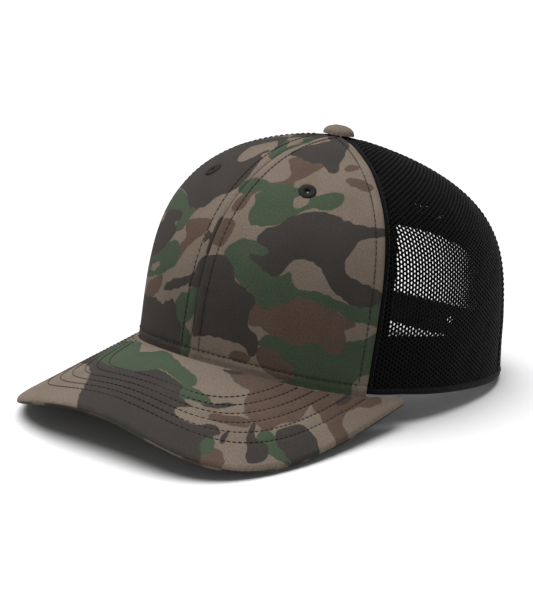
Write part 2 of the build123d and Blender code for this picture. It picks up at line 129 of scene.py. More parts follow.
def rim_xy(turn):
    """The head opening seen from above."""
    c, s = np.cos(np.radians(turn)), np.sin(np.radians(turn))
    n = np.where(c > 0, FRONT_ROUND, BACK_ROUND)
    reach = RIM_HALF_LENGTH + np.where(c > 0, RIM_WIDEST_BACK, -RIM_WIDEST_BACK)
    k = (np.abs(c) ** n + np.abs(s) ** n) ** (-1 / n)
    return RIM_HALF_WIDTH * k * s, RIM_WIDEST_BACK - reach * k * c


def visor_z(x, y):
    """The visor's top: an arch of one radius that slopes down to the front."""
    return VISOR_SLOPE * (y + RIM_HALF_LENGTH) - VISOR_RADIUS + np.sqrt(VISOR_RADIUS**2 - x * x)


def rim_z(turn):
    """The rim follows the visor's root, then runs smoothly to the back."""
    start = visor_z(*rim_xy(np.array(VISOR_END)))
    w = np.clip((turn - VISOR_END) / (180 - VISOR_END), 0, 1)
    behind = start + (RIM_BACK_RISE - start) * (3 * w * w - 2 * w**3)
    return np.where(turn < VISOR_END, visor_z(*rim_xy(turn)), behind)


def make_table():
    """Points, normals and lengths of lines up the crown, every half degree."""
    table = np.zeros((len(TURNS), TABLE_ROWS + 1, 3))
    lengths = np.zeros(len(TURNS))
    swing = (1 - np.linspace(0, 1, LINE_POINTS) ** 3) * np.pi / 2
    xs, ys = rim_xy(TURNS)
    lows = rim_z(TURNS)
    for i, turn in enumerate(TURNS):
        out = np.sin(swing) ** (2 / around(TOP_FULLNESS, turn))
        up = np.cos(swing) ** (2 / around(WALL_FULLNESS, turn))
        lean = WALL_LEAN_IN - WALL_LEAN_FRONT * math.cos(math.radians(turn))
        width = out * (1 - lean * up)
        forward = CROWN_TIP_FORWARD * (1 - out)
        height = lows[i] + (CROWN_HEIGHT - lows[i]) * up
        line = np.stack([width * xs[i], width * ys[i] - forward, height], axis=1)
        steps = np.linalg.norm(np.diff(line, axis=0), axis=1)
        done = np.concatenate([[0], np.cumsum(steps)])
        lengths[i] = done[-1]
        even = np.linspace(0, done[-1], TABLE_ROWS + 1)
        table[i] = np.stack([np.interp(even, done, line[:, k]) for k in range(3)], axis=1)
    normals = np.cross(np.gradient(table, axis=0), np.gradient(table, axis=1))
    normals[[0, -1], :, 0] = 0
    normals[:, -TIP_ROWS:] = normals[:, -TIP_ROWS - 1 : -TIP_ROWS]
    normals /= np.linalg.norm(normals, axis=2, keepdims=True)
    return table, normals, lengths


TABLE, NORMALS, LENGTHS = make_table()


def length_up(turn):
    """Length of cloth from rim to tip."""
    folded = np.abs((np.asarray(turn, float) + 180) % 360 - 180)
    return np.interp(folded / TURN_STEP, np.arange(len(LENGTHS)), LENGTHS)


def skin(turn, rise, depth=0.0):
    """Points at a depth below the outside of the crown, and the outward directions there."""
    turn, rise, depth = np.broadcast_arrays(
        np.asarray(turn, float), np.asarray(rise, float), np.asarray(depth, float)
    )
    wrapped = (turn + 180) % 360 - 180
    side = np.where(wrapped < 0, -1.0, 1.0)
    across = np.abs(wrapped) / TURN_STEP
    i = np.clip(np.floor(across).astype(int), 0, len(LENGTHS) - 2)
    a = (across - i)[..., None]
    up = np.clip(rise / length_up(turn), 0, 1) * TABLE_ROWS
    j = np.clip(np.floor(up).astype(int), 0, TABLE_ROWS - 1)
    b = (up - j)[..., None]

    def blended(values):
        low = values[i, j] * (1 - a) + values[i + 1, j] * a
        high = values[i, j + 1] * (1 - a) + values[i + 1, j + 1] * a
        found = low * (1 - b) + high * b
        found[..., 0] *= side
        return found

    place, normal = blended(TABLE), blended(NORMALS)
    normal /= np.linalg.norm(normal, axis=-1, keepdims=True)
    place[..., 2] += np.minimum(rise, 0)
    return place - depth[..., None] * normal, normal


SPAN_RISES = np.arange(0, 176, 1.0)


def make_spans():
    """Length of cloth round the crown from the middle front, at each rise."""
    points = skin(TURNS[:, None], SPAN_RISES[None, :])[0]
    steps = np.linalg.norm(np.diff(points, axis=0), axis=2)
    return np.concatenate([np.zeros((1, len(SPAN_RISES))), np.cumsum(steps, axis=0)])


SPANS = make_spans()


def span(turn, rise):
    """Cloth length round the crown from the middle front to a turn, at one rise."""
    across = np.clip(np.asarray(turn, float), 0, 180) / TURN_STEP
    i = np.clip(np.floor(across).astype(int), 0, len(SPANS) - 2)
    a = across - i
    up = np.clip(np.asarray(rise, float), 0, SPAN_RISES[-1] - 0.01)
    j = np.floor(up).astype(int)
    b = up - j
    low = SPANS[i, j] * (1 - a) + SPANS[i + 1, j] * a
    high = SPANS[i, j + 1] * (1 - a) + SPANS[i + 1, j + 1] * a
    return low * (1 - b) + high * b


def per_degree(turn, rise):
    """Cloth length round the crown in one degree."""
    rise = np.minimum(rise, length_up(turn) - TIP_MARGIN)
    return np.maximum(span(turn + 0.5, rise) - span(turn - 0.5, rise), 0.02)


def turn_from_span(start, length, rise):
    """The turn that lies a cloth length away from a starting turn, at one rise."""
    turn = np.full(np.broadcast(length, rise).shape, float(start))
    for _ in range(5):
        short = span(start, rise) + length - span(turn, rise)
        turn = np.clip(turn + short / per_degree(np.clip(turn, 0.5, 179.5), rise), 0, 180)
    return turn


# ---------------------------------------------------------------- smooth wobble

WAVES = np.random.RandomState(7)
WAVE_COUNT = 64
WAVES_SUMMED = 6
WAVE_TURN = WAVES.uniform(0, 2 * np.pi, WAVE_COUNT)
WAVE_PHASE = WAVES.uniform(0, 2 * np.pi, WAVE_COUNT)
WAVE_SIZE = WAVES.uniform(0.7, 1.45, WAVE_COUNT)


def wobble(x, y, length, part):
    """A smooth field of about -1 to 1 that changes over a length."""
    total = np.zeros(np.broadcast(x, y).shape)
    first = part * WAVES_SUMMED % (WAVE_COUNT - WAVES_SUMMED)
    for k in range(first, first + WAVES_SUMMED):
        pull = 2 * np.pi / (length * WAVE_SIZE[k])
        along = math.cos(WAVE_TURN[k]) * x + math.sin(WAVE_TURN[k]) * y
        total += np.sin(pull * along + WAVE_PHASE[k])
    return total / (WAVES_SUMMED / 2)


# ---------------------------------------------------------------- camouflage print

# Outlines of the print's patches, (across, up) in millimetres of cloth from the middle seam
# and the rim. Later inks lie over earlier ones, and "over" is bare khaki on top of them all.
CROWN_PRINT = {
    "brown": [
        [(29, 35), (35, 33), (39, 34), (46, 37), (48, 40), (54, 39.5), (63, 38), (73, 34), (78, 32),
         (73, 29), (75, 24), (73, 17), (67, 17), (60, 20), (52, 17), (45, 19), (39, 21), (34, 23),
         (28, 23), (27, 28)],
        [(20, 42), (21, 45), (24, 45), (25.5, 42), (23, 39.5)],
        [(39, 15), (44, 13), (48, 9), (53, 7), (54, 2), (47, 1), (39, 4), (35, 9), (36, 12)],
        [(22, 6), (26, 8), (31, 7), (29, 4.5), (24, 4.5)],
        [(9, 115), (16, 117), (24, 117), (25, 111), (24, 104), (21, 98), (22, 93), (16, 90), (10, 88),
         (7, 82),
         (7, 75), (3, 74), (4, 82), (8, 90), (15, 94), (18, 98), (17, 103), (13, 108)],
        [(43, 106.5), (50, 105.5), (56, 102), (55.5, 100), (48, 102), (43, 104)],
        [(2, 67), (7.5, 66), (7.5, 61), (6, 55), (1.5, 56)],
        [(36, 118), (41, 116), (39, 113), (36, 114)],
        [(-20, 62), (-8, 65), (-5, 62), (-10, 55), (-14, 51), (-17, 45), (-20, 40), (-22, 44), (-20, 49),
         (-16, 54), (-20, 59)],
        [(-50, 27), (-40, 30), (-30, 33), (-31, 27), (-40, 22), (-52, 20)],
        [(-24, 72), (-19, 70), (-24, 66), (-31, 71)],
    ],
    "green": [
        [(13, 92), (20, 94), (26, 93), (31, 93.5), (36, 91), (40, 94), (45, 95), (48, 92), (48, 87),
         (44, 84),
         (38, 84), (34, 80), (28, 72), (22, 69), (16, 68.5), (13, 72), (12, 80), (10, 84), (12, 88)],
        [(-1, 91), (4, 94), (11, 93), (11, 88), (7, 86), (3, 83), (-1, 85)],
        [(9, 51), (12, 57), (16, 60), (24, 60), (30, 58), (30, 50), (38, 47), (42, 50), (44, 46), (48, 43),
         (58, 44), (66, 42), (75, 41), (89, 45), (92, 40), (92, 33), (83, 34), (76, 34), (70, 37), (60, 39),
         (50, 41), (46, 38), (40, 34), (34, 31), (30, 35), (25, 38), (19, 42), (15, 46)],
        [(35, 14), (38, 19), (44, 19), (52, 17), (60, 20), (67, 17), (74, 17), (76, 23), (84, 25), (93, 27),
         (93, -6), (44, -6), (52, 1), (54, 6), (48, 10), (42, 14)],
        [(-62, 74), (-50, 76), (-40, 75), (-31, 72.5), (-22, 69), (-21, 64), (-24, 57), (-30, 57),
         (-30, 64),
         (-40, 65), (-50, 64), (-64, 64)],
        [(-60, 41), (-50, 41), (-38, 45), (-32, 49), (-23, 51), (-19, 46), (-19, 41), (-25, 37), (-33, 34),
         (-50, 31), (-62, 32)],
        [(-14, 21), (-10, 27), (-5, 30), (0, 34), (1.5, 28), (-1, 20), (-5, 14), (-8, 11)],
        [(-8, 5), (-6, 13), (-3, 12), (-1, 8), (-2, -6), (-8, -6)],
        [(-10, 132), (-5, 130), (-1, 121), (0, 112), (-3, 113), (-5, 120), (-8, 126)],
        [(-1, 147), (2, 143), (3, 132), (1, 122), (-1, 122), (0, 134), (-3, 142)],
    ],
    "dark": [
        [(-1, 160), (8, 156), (16, 148), (22, 138), (27, 127), (31, 117), (34.5, 110), (32, 108.5),
         (28, 111),
         (24, 115), (19, 114), (12, 116.5), (5, 118), (5, 126), (7, 136), (8, 145), (3, 152)],
        [(21, 63), (24, 67.5), (28, 71), (31, 76), (36, 80), (42, 82.5), (50, 82), (60, 79.5), (70, 79),
         (80, 79), (80, 76), (74, 74), (67, 71.5), (66, 65), (64.5, 61), (66, 57), (70, 54), (76, 52),
         (85, 50), (89.5, 47), (88, 43.5), (82, 41), (75, 41), (68, 44), (62, 47.5), (59, 51), (54, 55.5),
         (48, 57.5), (42, 56), (40, 52), (38, 48), (34, 46.5), (29, 49), (22, 52), (21, 54), (27, 54.5),
         (29.5, 57), (27, 59), (23, 60)],
        [(-2, 47), (3, 49), (8, 50.5), (12, 49), (16, 45.5), (19, 40.5), (24, 38), (29, 35), (30, 32),
         (28, 27), (29, 21), (34, 17), (35, 12), (33, 7.5), (30, 9), (28, 11.5), (22, 12), (10, 12),
         (1, 10), (0, 22),
         (1, 33), (-2, 32.5), (-7, 32), (-6, 34), (-10, 31.5), (-15, 29), (-24, 27), (-25, 29), (-19, 33),
         (-10, 36), (-5, 39)],
        [(-4.3, 60), (-1.5, 60), (-1.5, 67), (0.5, 67), (1, 50), (-0.8, 49), (-1.8, 56), (-3.5, 53.5),
         (-4.6, 56)],
        [(-6, 117), (-8, 112), (-5, 109), (-3, 103), (-2, 96), (-2, 86), (-5, 82), (-10, 78), (-14, 72),
         (-20, 69), (-28, 70), (-32, 73), (-40, 76), (-50, 77), (-64, 78), (-66, 92), (-58, 104),
         (-46, 114),
         (-36, 122), (-24, 132), (-14, 137), (-9, 132), (-6, 124)],
        [(-18, 146), (-8, 158), (0, 160), (2, 152), (-2, 145), (-7, 141), (-11, 136), (-15, 140)],
        [(-28, 57), (-27.5, 54.5), (-32, 49), (-40, 44), (-49, 41.5), (-60, 41), (-66, 50), (-60, 57),
         (-52, 59), (-52, 63), (-47, 65), (-39, 66), (-30, 65.5), (-28, 62), (-32, 59.5)],
        [(-60, 20), (-49, 21), (-34, 22), (-25, 20.5), (-20, 22.5), (-16, 24), (-12.5, 21), (-10, 16),
         (-7, 12), (-7, 4), (-8, -6), (-62, -6), (-66, 8)],
    ],
    "over": [
        [(27.5, 86), (29, 89.5), (32, 90), (34.5, 87), (33.5, 83), (30, 82)],
        [(-24, 116), (-22, 110), (-20, 105), (-16, 102.5), (-12, 106), (-10, 111), (-9, 117), (-6, 118),
         (-8, 124), (-12, 128.5), (-15, 127), (-19, 122)],
        [(-51, 35), (-44, 38), (-37, 39.5), (-36, 37.5), (-44, 34)],
        [(82, 3), (86, 8), (93, 9), (93, -6), (85, -6)],
    ],
}

# The same for the visor, seen from above: across, and forward of the head's middle.
VISOR_PRINT = {
    "brown": [
        [(24, -96), (33, -88), (42, -82), (50, -74), (57, -64), (64, -54), (70, -46), (75, -46), (74, -54),
         (71, -62), (73, -74), (81, -76), (81, -82), (66, -81), (60, -82), (63, -92), (60, -104),
         (60, -112),
         (50, -114), (44, -108), (40, -101), (32, -102)],
        [(41, -128), (47, -121), (53, -116), (53, -121), (46, -128), (42, -130)],
        [(56, -141), (62, -143), (60, -150), (54, -152), (55, -146)],
        [(-2, -158), (4, -159), (6, -164), (0, -165)],
        [(30, -144), (34, -143), (33, -148), (30, -148)],
    ],
    "green": [
        [(-60, -78), (-52, -84), (-38, -91), (-32, -98), (-26, -104.5), (-20, -104), (-14, -101.5),
         (-7, -104),
         (3, -109), (17, -114), (21, -118), (21, -121), (30, -120.5), (35, -123), (35, -126), (29, -127),
         (24, -131), (20, -129), (18, -123), (10, -120), (-2, -117), (-6, -122), (-12, -125), (-20, -124),
         (-27, -121), (-38, -116), (-46, -111), (-53, -105), (-58, -98), (-62, -88)],
        [(61, -112), (68, -111), (77, -108), (76, -113), (70, -119), (62, -120), (60, -116)],
        [(49, -138), (53, -140), (55.5, -145), (53.5, -149.5), (49.5, -147)],
        [(-80, -60), (-72, -62), (-68, -70), (-72, -80), (-82, -84)],
    ],
    "dark": [
        [(-60, -84), (-57, -98), (-52, -106), (-44, -112), (-36, -117.5), (-27, -122), (-19, -124.5),
         (-12, -125.5), (-6, -122), (-2, -118), (10, -121), (18, -123.5), (21, -129.5), (26, -131),
         (31, -131.5),
         (29, -135), (27.5, -138), (30, -141), (34, -141.5), (39, -140), (42.5, -137.5), (44, -133),
         (48, -131.5), (51, -134), (49, -141), (51, -147), (56, -151), (58, -158), (40, -168), (0, -168),
         (-9, -163), (-14, -157), (-19, -150), (-24, -142), (-31, -132), (-39, -124), (-48, -116),
         (-56, -110),
         (-64, -102), (-68, -92)],
        [(33.5, -125.5), (37, -120), (39, -116), (41.5, -114.5), (42, -118), (39, -123), (36, -126)],
        [(66, -94), (73, -92), (79, -95), (79, -104), (77, -111), (68, -112.5), (63, -108), (64, -100)],
        [(54.5, -114), (57, -116), (60, -120), (66, -117.5), (70.5, -122), (69.5, -129), (67, -132.5),
         (63, -128), (59, -124.5), (55.5, -119)],
        [(51.5, -128), (55.5, -135), (54, -137), (51, -131)],
        [(21, -99.5), (25, -97), (28, -93), (30, -95), (26, -100)],
        [(64, -56), (68, -60), (68, -68), (65.5, -69), (65, -62)],
    ],
    "over": [],
}
PRINT_INKS = ("brown", "green", "dark", "over")
PRINT_LAP = {"brown": 0.9, "green": 0.5}  # how far an ink runs on past its outlines
PRINT_REACH = 3.0  # distances are worked out this far from a patch
PRINT_WANDER = 0.35
CURVE_STEPS = 5


def smooth_outline(corners):
    """A closed smooth curve through an outline's corners."""
    p = np.array(corners, float)
    before, after, later = np.roll(p, 1, axis=0), np.roll(p, -1, axis=0), np.roll(p, -2, axis=0)
    t = (np.arange(CURVE_STEPS) / CURVE_STEPS)[None, :, None]
    before, p, after, later = (v[:, None, :] for v in (before, p, after, later))
    bend = (2 * before - 5 * p + 4 * after - later) * t**2 + (3 * p - before - 3 * after + later) * t**3
    return (p + 0.5 * ((after - before) * t + bend)).reshape(-1, 2)


def depth_inside(x, y, curve):
    """Distance into a closed curve, negative outside it."""
    start, end = curve, np.roll(curve, -1, axis=0)
    nearest = np.full(x.shape, 1e9)
    inside = np.zeros(x.shape, bool)
    for (ax, ay), (bx, by) in zip(start, end):
        dx, dy = bx - ax, by - ay
        along = np.clip(((x - ax) * dx + (y - ay) * dy) / (dx * dx + dy * dy), 0, 1)
        nearest = np.minimum(nearest, (x - ax - along * dx) ** 2 + (y - ay - along * dy) ** 2)
        if dy != 0:
            inside ^= ((ay > y) != (by > y)) & (x < ax + (y - ay) / dy * dx)
    return np.sqrt(nearest) * np.where(inside, 1, -1)


def print_fields(x, y, patches):
    """Signed distance in millimetres into each ink's patches."""
    shape = x.shape
    x, y = (x + PRINT_WANDER * wobble(x, y, 7, 1)).ravel(), (y + PRINT_WANDER * wobble(x, y, 6, 3)).ravel()
    fields = {}
    for ink in PRINT_INKS:
        best = np.full(x.shape, -PRINT_REACH)
        for corners in patches[ink]:
            curve = smooth_outline(corners)
            (x0, y0), (x1, y1) = curve.min(axis=0) - PRINT_REACH, curve.max(axis=0) + PRINT_REACH
            near = np.flatnonzero((x > x0) & (x < x1) & (y > y0) & (y < y1))
            best[near] = np.maximum(best[near], depth_inside(x[near], y[near], curve))
        fields[ink] = best.reshape(shape)
    for ink, lap in PRINT_LAP.items():
        fields[ink] = fields[ink] + lap
    return fields


def free_print(x, y):
    """The same print where no patch is listed."""
    sizes = {"brown": (30, 7, 0.30), "green": (36, 6, 0.22), "dark": (34, 5, 0.30)}
    fields = {"over": np.full(x.shape, -PRINT_REACH)}
    for ink, (length, part, level) in sizes.items():
        fields[ink] = (wobble(x * 0.75, y * 1.5, length, part) - level) * 12
    return fields


# ---------------------------------------------------------------- meshes


def grid_quads(columns, rows):
    """Quads of a grid of points with the rows running fastest."""
    i, j = np.meshgrid(np.arange(columns - 1), np.arange(rows - 1), indexing="ij")
    start = (i * rows + j).ravel()
    return np.stack([start, start + rows, start + rows + 1, start + 1], axis=1)


def thicken(front, back, quads):
    """A closed shell: front faces, back faces and a wall along every open edge."""
    count = len(front)
    edges = np.concatenate([quads[:, [k, (k + 1) % 4]] for k in range(4)])
    low, high = edges.min(axis=1), edges.max(axis=1)
    key = low.astype(np.int64) * count + high
    _, first, used = np.unique(key, return_index=True, return_counts=True)
    rim = edges[first[used == 1]]
    walls = np.stack([rim[:, 1], rim[:, 0], rim[:, 0] + count, rim[:, 1] + count], axis=1)
    faces = np.concatenate([quads, quads[:, ::-1] + count, walls])
    return np.concatenate([front, back]), faces


def join(*solids):
    """Several (points, faces) as one."""
    points, faces, done = [], [], 0
    for solid_points, solid_faces in solids:
        points.append(solid_points)
        faces.append(solid_faces + done)
        done += len(solid_points)
    return np.concatenate(points), np.concatenate(faces)


def volume(points, faces):
    """Signed volume, to tell which way the faces look."""
    a, b, c, d = (points[faces[:, k]] for k in range(4))
    return (np.einsum("ij,ij->i", a, np.cross(b, c) + np.cross(c, d))).sum()


SHARP_ANGLE = 40.0


def cloth_places(across, up):
    """Places on flat cloth, once for each face of a piece."""
    flat = np.stack([across.ravel(), up.ravel(), 0 * up.ravel()], axis=1)
    return np.tile(flat, (2, 1))


def shell(turn, rise, outside, inside, used=slice(None)):
    """Cloth on the crown between two depths, over a grid of turns and rises."""
    outer = skin(turn, rise, outside)[0].reshape(-1, 3)
    inner = skin(turn, rise, inside)[0].reshape(-1, 3)
    return thicken(outer, inner, grid_quads(*turn.shape)[used])


def piece(name, solid, material, stands_for, mirror=False, cloth=None, fields=None):
    """A finished piece from points in millimetres in the head frame."""
    points, faces = solid
    if mirror:
        points = points * np.array([-1.0, 1.0, 1.0])
    used, packed = np.unique(faces, return_inverse=True)
    points, faces = points[used], packed.reshape(faces.shape)
    if volume(points - points.mean(axis=0), faces) < 0:
        faces = faces[:, ::-1]
    mesh = bpy.data.meshes.new(name)
    mesh.vertices.add(len(points))
    mesh.vertices.foreach_set("co", to_row(points).ravel())
    mesh.loops.add(faces.size)
    mesh.loops.foreach_set("vertex_index", faces.ravel().astype(np.int32))
    mesh.polygons.add(len(faces))
    mesh.polygons.foreach_set("loop_start", np.arange(0, faces.size, 4, dtype=np.int32))
    mesh.update(calc_edges=True)
    mesh.validate()
    mesh.shade_smooth()
    mesh.set_sharp_from_angle(angle=math.radians(SHARP_ANGLE))
    if cloth is None:
        cloth = points
    else:
        cloth = cloth[used]
    attribute = mesh.attributes.new("cloth", "FLOAT_VECTOR", "POINT")
    attribute.data.foreach_set("vector", np.ascontiguousarray(cloth, dtype=np.float32).ravel())
    for ink, values in (fields or {}).items():
        attribute = mesh.attributes.new(ink, "FLOAT", "POINT")
        attribute.data.foreach_set("value", values[used].astype(np.float32))
    mesh.materials.append(material)
    obj = bpy.data.objects.new(name, mesh)
    bpy.context.scene.collection.objects.link(obj)
    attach(obj, "crown")
    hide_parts(*stands_for)
    return obj


def along_path(points, normals, pitch):
    """Even places along a line of points: (places, directions, outward directions)."""
    steps = np.linalg.norm(np.diff(points, axis=0), axis=1)
    done = np.concatenate([[0], np.cumsum(steps)])
    count = max(int(done[-1] / pitch), 1)
    at = (np.arange(count) + 0.5) * done[-1] / count

    def pick(values, where):
        return np.stack([np.interp(where, done, values[:, k]) for k in range(3)], axis=1)

    direction = pick(points, at + 0.4) - pick(points, at - 0.4)
    direction /= np.linalg.norm(direction, axis=1, keepdims=True)
    normal = pick(normals, at)
    normal /= np.linalg.norm(normal, axis=1, keepdims=True)
    return pick(points, at), direction, normal


STITCH_PITCH = 2.7
STITCH_LENGTH = 2.15
STITCH_R = 0.2
STITCH_SIDES = 6
STITCH_STATIONS = np.array([-1.0, -0.82, -0.4, 0.4, 0.82, 1.0])
STITCH_HEIGHTS = np.array([-0.36, -0.04, 0.10, 0.10, -0.04, -0.36])
STITCH_RADII = np.array([0.45, 0.85, 1.0, 1.0, 0.85, 0.45])


def stitch_row(points, normals):
    """Separate stitches of thread along a line, each dipping into the cloth at its ends."""
    place, direction, normal = along_path(points, normals, STITCH_PITCH)
    side = np.cross(normal, direction)
    sides = STITCH_SIDES
    corner = np.arange(sides) * 2 * np.pi / sides
    ring_side = np.cos(corner)[None, None, :, None] * side[:, None, None, :]
    ring_up = np.sin(corner)[None, None, :, None] * normal[:, None, None, :]
    spine = (
        place[:, None, :]
        + STITCH_STATIONS[None, :, None] * direction[:, None, :] * STITCH_LENGTH / 2
        + STITCH_HEIGHTS[None, :, None] * normal[:, None, :]
    )
    rings = spine[:, :, None, :] + (ring_side + ring_up) * STITCH_R * STITCH_RADII[None, :, None, None]
    stations = len(STITCH_STATIONS)
    s, c = np.meshgrid(np.arange(stations - 1), np.arange(sides), indexing="ij")
    s, c = s.ravel(), c.ravel()
    after = (c + 1) % sides
    around_it = np.stack(
        [s * sides + c, s * sides + after, (s + 1) * sides + after, (s + 1) * sides + c], axis=1
    )
    last = (stations - 1) * sides
    caps = np.array([[3, 2, 1, 0], [5, 4, 3, 0]])
    caps = np.concatenate([caps, caps[:, ::-1] + last])
    one = np.concatenate([around_it, caps])
    starts = np.arange(len(place)) * stations * sides
    faces = (one[None] + starts[:, None, None]).reshape(-1, 4)
    return rings.reshape(-1, 3), faces


# ---------------------------------------------------------------- materials


def add(tree, kind, inputs=None, **settings):
    """A shader node, with its inputs set to values or linked to sockets."""
    node = tree.nodes.new(kind)
    for name, value in settings.items():
        setattr(node, name, value)
    for name, value in (inputs or {}).items():
        socket = node.inputs[name]
        if isinstance(value, bpy.types.NodeSocket):
            tree.links.new(value, socket)
        else:
            socket.default_value = value
    return node


def start_material(name, **values):
    """A new material, its node tree and its surface shader."""
    material = bpy.data.materials.new(name)
    material.use_nodes = True
    tree = material.node_tree
    surface = tree.nodes["Principled BSDF"]
    for key, value in values.items():
        surface.inputs[key.replace("_", " ").title().replace("Ior", "IOR")].default_value = value
    return material, tree, surface


def millimetres(tree, own):
    """Places on a piece in millimetres: along its cloth, or in space for a CAD node."""
    if own:
        return add(tree, "ShaderNodeAttribute", attribute_name="cloth").outputs["Vector"]
    spot = add(tree, "ShaderNodeTexCoord").outputs["Object"]
    scaled = add(tree, "ShaderNodeVectorMath", {0: spot}, operation="SCALE")
    scaled.inputs["Scale"].default_value = 1000.0
    return scaled.outputs[0]


def noise_at(tree, place, scale, detail=2.0):
    """Soft noise between about 0.3 and 0.7."""
    inputs = {"Vector": place, "Scale": scale, "Detail": detail}
    return add(tree, "ShaderNodeTexNoise", inputs).outputs["Fac"]


def remap(tree, value, low, high, to_low, to_high, smooth=False):
    """A value carried from one range to another."""
    inputs = {
        "Value": value, "From Min": low, "From Max": high, "To Min": to_low, "To Max": to_high
    }
    node = add(tree, "ShaderNodeMapRange", inputs, clamp=True)
    if smooth:
        node.interpolation_type = "SMOOTHSTEP"
    return node.outputs["Result"]


def shaded(tree, colour, *factors):
    """A colour multiplied by several grey factors."""
    for factor in factors:
        grey = add(tree, "ShaderNodeCombineColor", {"Red": factor, "Green": factor, "Blue": factor})
        mix = add(tree, "ShaderNodeMix", data_type="RGBA", blend_type="MULTIPLY")
        mix.inputs[0].default_value = 1.0
        for socket, value in ((mix.inputs[6], colour), (mix.inputs[7], grey.outputs[0])):
            if isinstance(value, bpy.types.NodeSocket):
                tree.links.new(value, socket)
            else:
                socket.default_value = value
        colour = mix.outputs[2]
    return colour


def bands(tree, place, width, direction="DIAGONAL", twist=0.6):
    """Fine ribs of a given width in millimetres."""
    per_scale = 0.628 if direction == "DIAGONAL" else 0.314
    inputs = {"Vector": place, "Scale": per_scale / width, "Distortion": twist}
    wave = add(tree, "ShaderNodeTexWave", inputs, bands_direction=direction)
    return wave.outputs["Fac"]


def bumped(tree, surface, layers):
    """Bumps laid over each other, each (height, depth in millimetres)."""
    normal = None
    for height, depth in layers:
        inputs = {"Height": height, "Distance": depth * MM, "Strength": 1.0}
        if normal is not None:
            inputs["Normal"] = normal
        normal = add(tree, "ShaderNodeBump", inputs).outputs["Normal"]
    tree.links.new(normal, surface.inputs["Normal"])


def weave_layers(tree, place, rib):
    """Twill ribs broken up by the yarns across them, and a fine fuzz."""
    ribs = bands(tree, place, rib)
    across = bands(tree, place, rib * 0.6, "X")
    fuzz = noise_at(tree, place, 2.2, 3.0)
    return ribs, across, fuzz


def camo_material():
    """Brushed cotton twill with a woodland print."""
    khaki = (0.100, 0.078, 0.061, 1)
    inks = {
        "brown": (0.053, 0.035, 0.026, 1), "green": (0.029, 0.041, 0.025, 1),
        "dark": (0.0245, 0.0208, 0.0183, 1), "over": khaki,
    }
    material, tree, surface = start_material("camo_twill", roughness=0.92)
    place = millimetres(tree, True)
    ribs, across, fuzz = weave_layers(tree, place, 0.62)
    slubs = noise_at(tree, place, 0.95, 4.0)
    ragged = remap(tree, noise_at(tree, place, 1.7, 3.0), 0.3, 0.7, -0.16, 0.16)
    colour = khaki
    for ink in PRINT_INKS:
        field = add(tree, "ShaderNodeAttribute", attribute_name=ink).outputs["Fac"]
        torn = add(tree, "ShaderNodeMath", {0: field, 1: ragged}, operation="ADD").outputs[0]
        edge = remap(tree, torn, -0.22, 0.22, 0.0, 1.0, smooth=True)
        mix = add(tree, "ShaderNodeMix", {0: edge}, data_type="RGBA")
        if isinstance(colour, bpy.types.NodeSocket):
            tree.links.new(colour, mix.inputs[6])
        else:
            mix.inputs[6].default_value = colour
        mix.inputs[7].default_value = inks[ink]
        colour = mix.outputs[2]
    colour = shaded(
        tree,
        colour,
        remap(tree, ribs, 0, 1, 0.86, 1.08),
        remap(tree, fuzz, 0.3, 0.7, 0.74, 1.26),
        remap(tree, slubs, 0.3, 0.7, 0.86, 1.14),
        remap(tree, noise_at(tree, place, 0.06), 0.3, 0.7, 0.93, 1.07),
    )
    tree.links.new(colour, surface.inputs["Base Color"])
    rough = remap(tree, fuzz, 0.3, 0.7, 0.85, 1.0)
    tree.links.new(rough, surface.inputs["Roughness"])
    surface.inputs["Specular IOR Level"].default_value = 0.12
    bumped(tree, surface, [(ribs, 0.09), (across, 0.04), (fuzz, 0.10), (slubs, 0.10)])
    return material


def cloth_material(name, colour, rib=0.7, own=True, gloss=0.1, rough=0.9, deep=0.08, vary=0.15):
    """Plain woven cloth."""
    material, tree, surface = start_material(name, roughness=rough)
    place = millimetres(tree, own)
    ribs, across, fuzz = weave_layers(tree, place, rib)
    tone = shaded(
        tree,
        (*colour, 1),
        remap(tree, ribs, 0, 1, 1 - vary, 1 + vary),
        remap(tree, fuzz, 0.3, 0.7, 1 - vary, 1 + vary),
        remap(tree, noise_at(tree, place, 0.08), 0.3, 0.7, 1 - vary / 2, 1 + vary / 2),
    )
    tree.links.new(tone, surface.inputs["Base Color"])
    tree.links.new(remap(tree, fuzz, 0.3, 0.7, rough - 0.1, rough), surface.inputs["Roughness"])
    surface.inputs["Specular IOR Level"].default_value = gloss
    bumped(tree, surface, [(ribs, deep), (across, deep * 0.6), (fuzz, deep * 0.5)])
    return material


def thread_material(name, colour):
    """Twisted sewing thread."""
    material, tree, surface = start_material(name, roughness=0.6)
    place = millimetres(tree, True)
    twist = bands(tree, place, 0.35, twist=1.5)
    strands = noise_at(tree, place, 3.0)
    tone = shaded(
        tree, (*colour, 1), remap(tree, twist, 0, 1, 0.7, 1.25), remap(tree, strands, 0.3, 0.7, 0.85, 1.2)
    )
    tree.links.new(tone, surface.inputs["Base Color"])
    tree.links.new(remap(tree, strands, 0.3, 0.7, 0.5, 0.75), surface.inputs["Roughness"])
    surface.inputs["Specular IOR Level"].default_value = 0.15
    bumped(tree, surface, [(twist, 0.05), (strands, 0.03)])
    return material


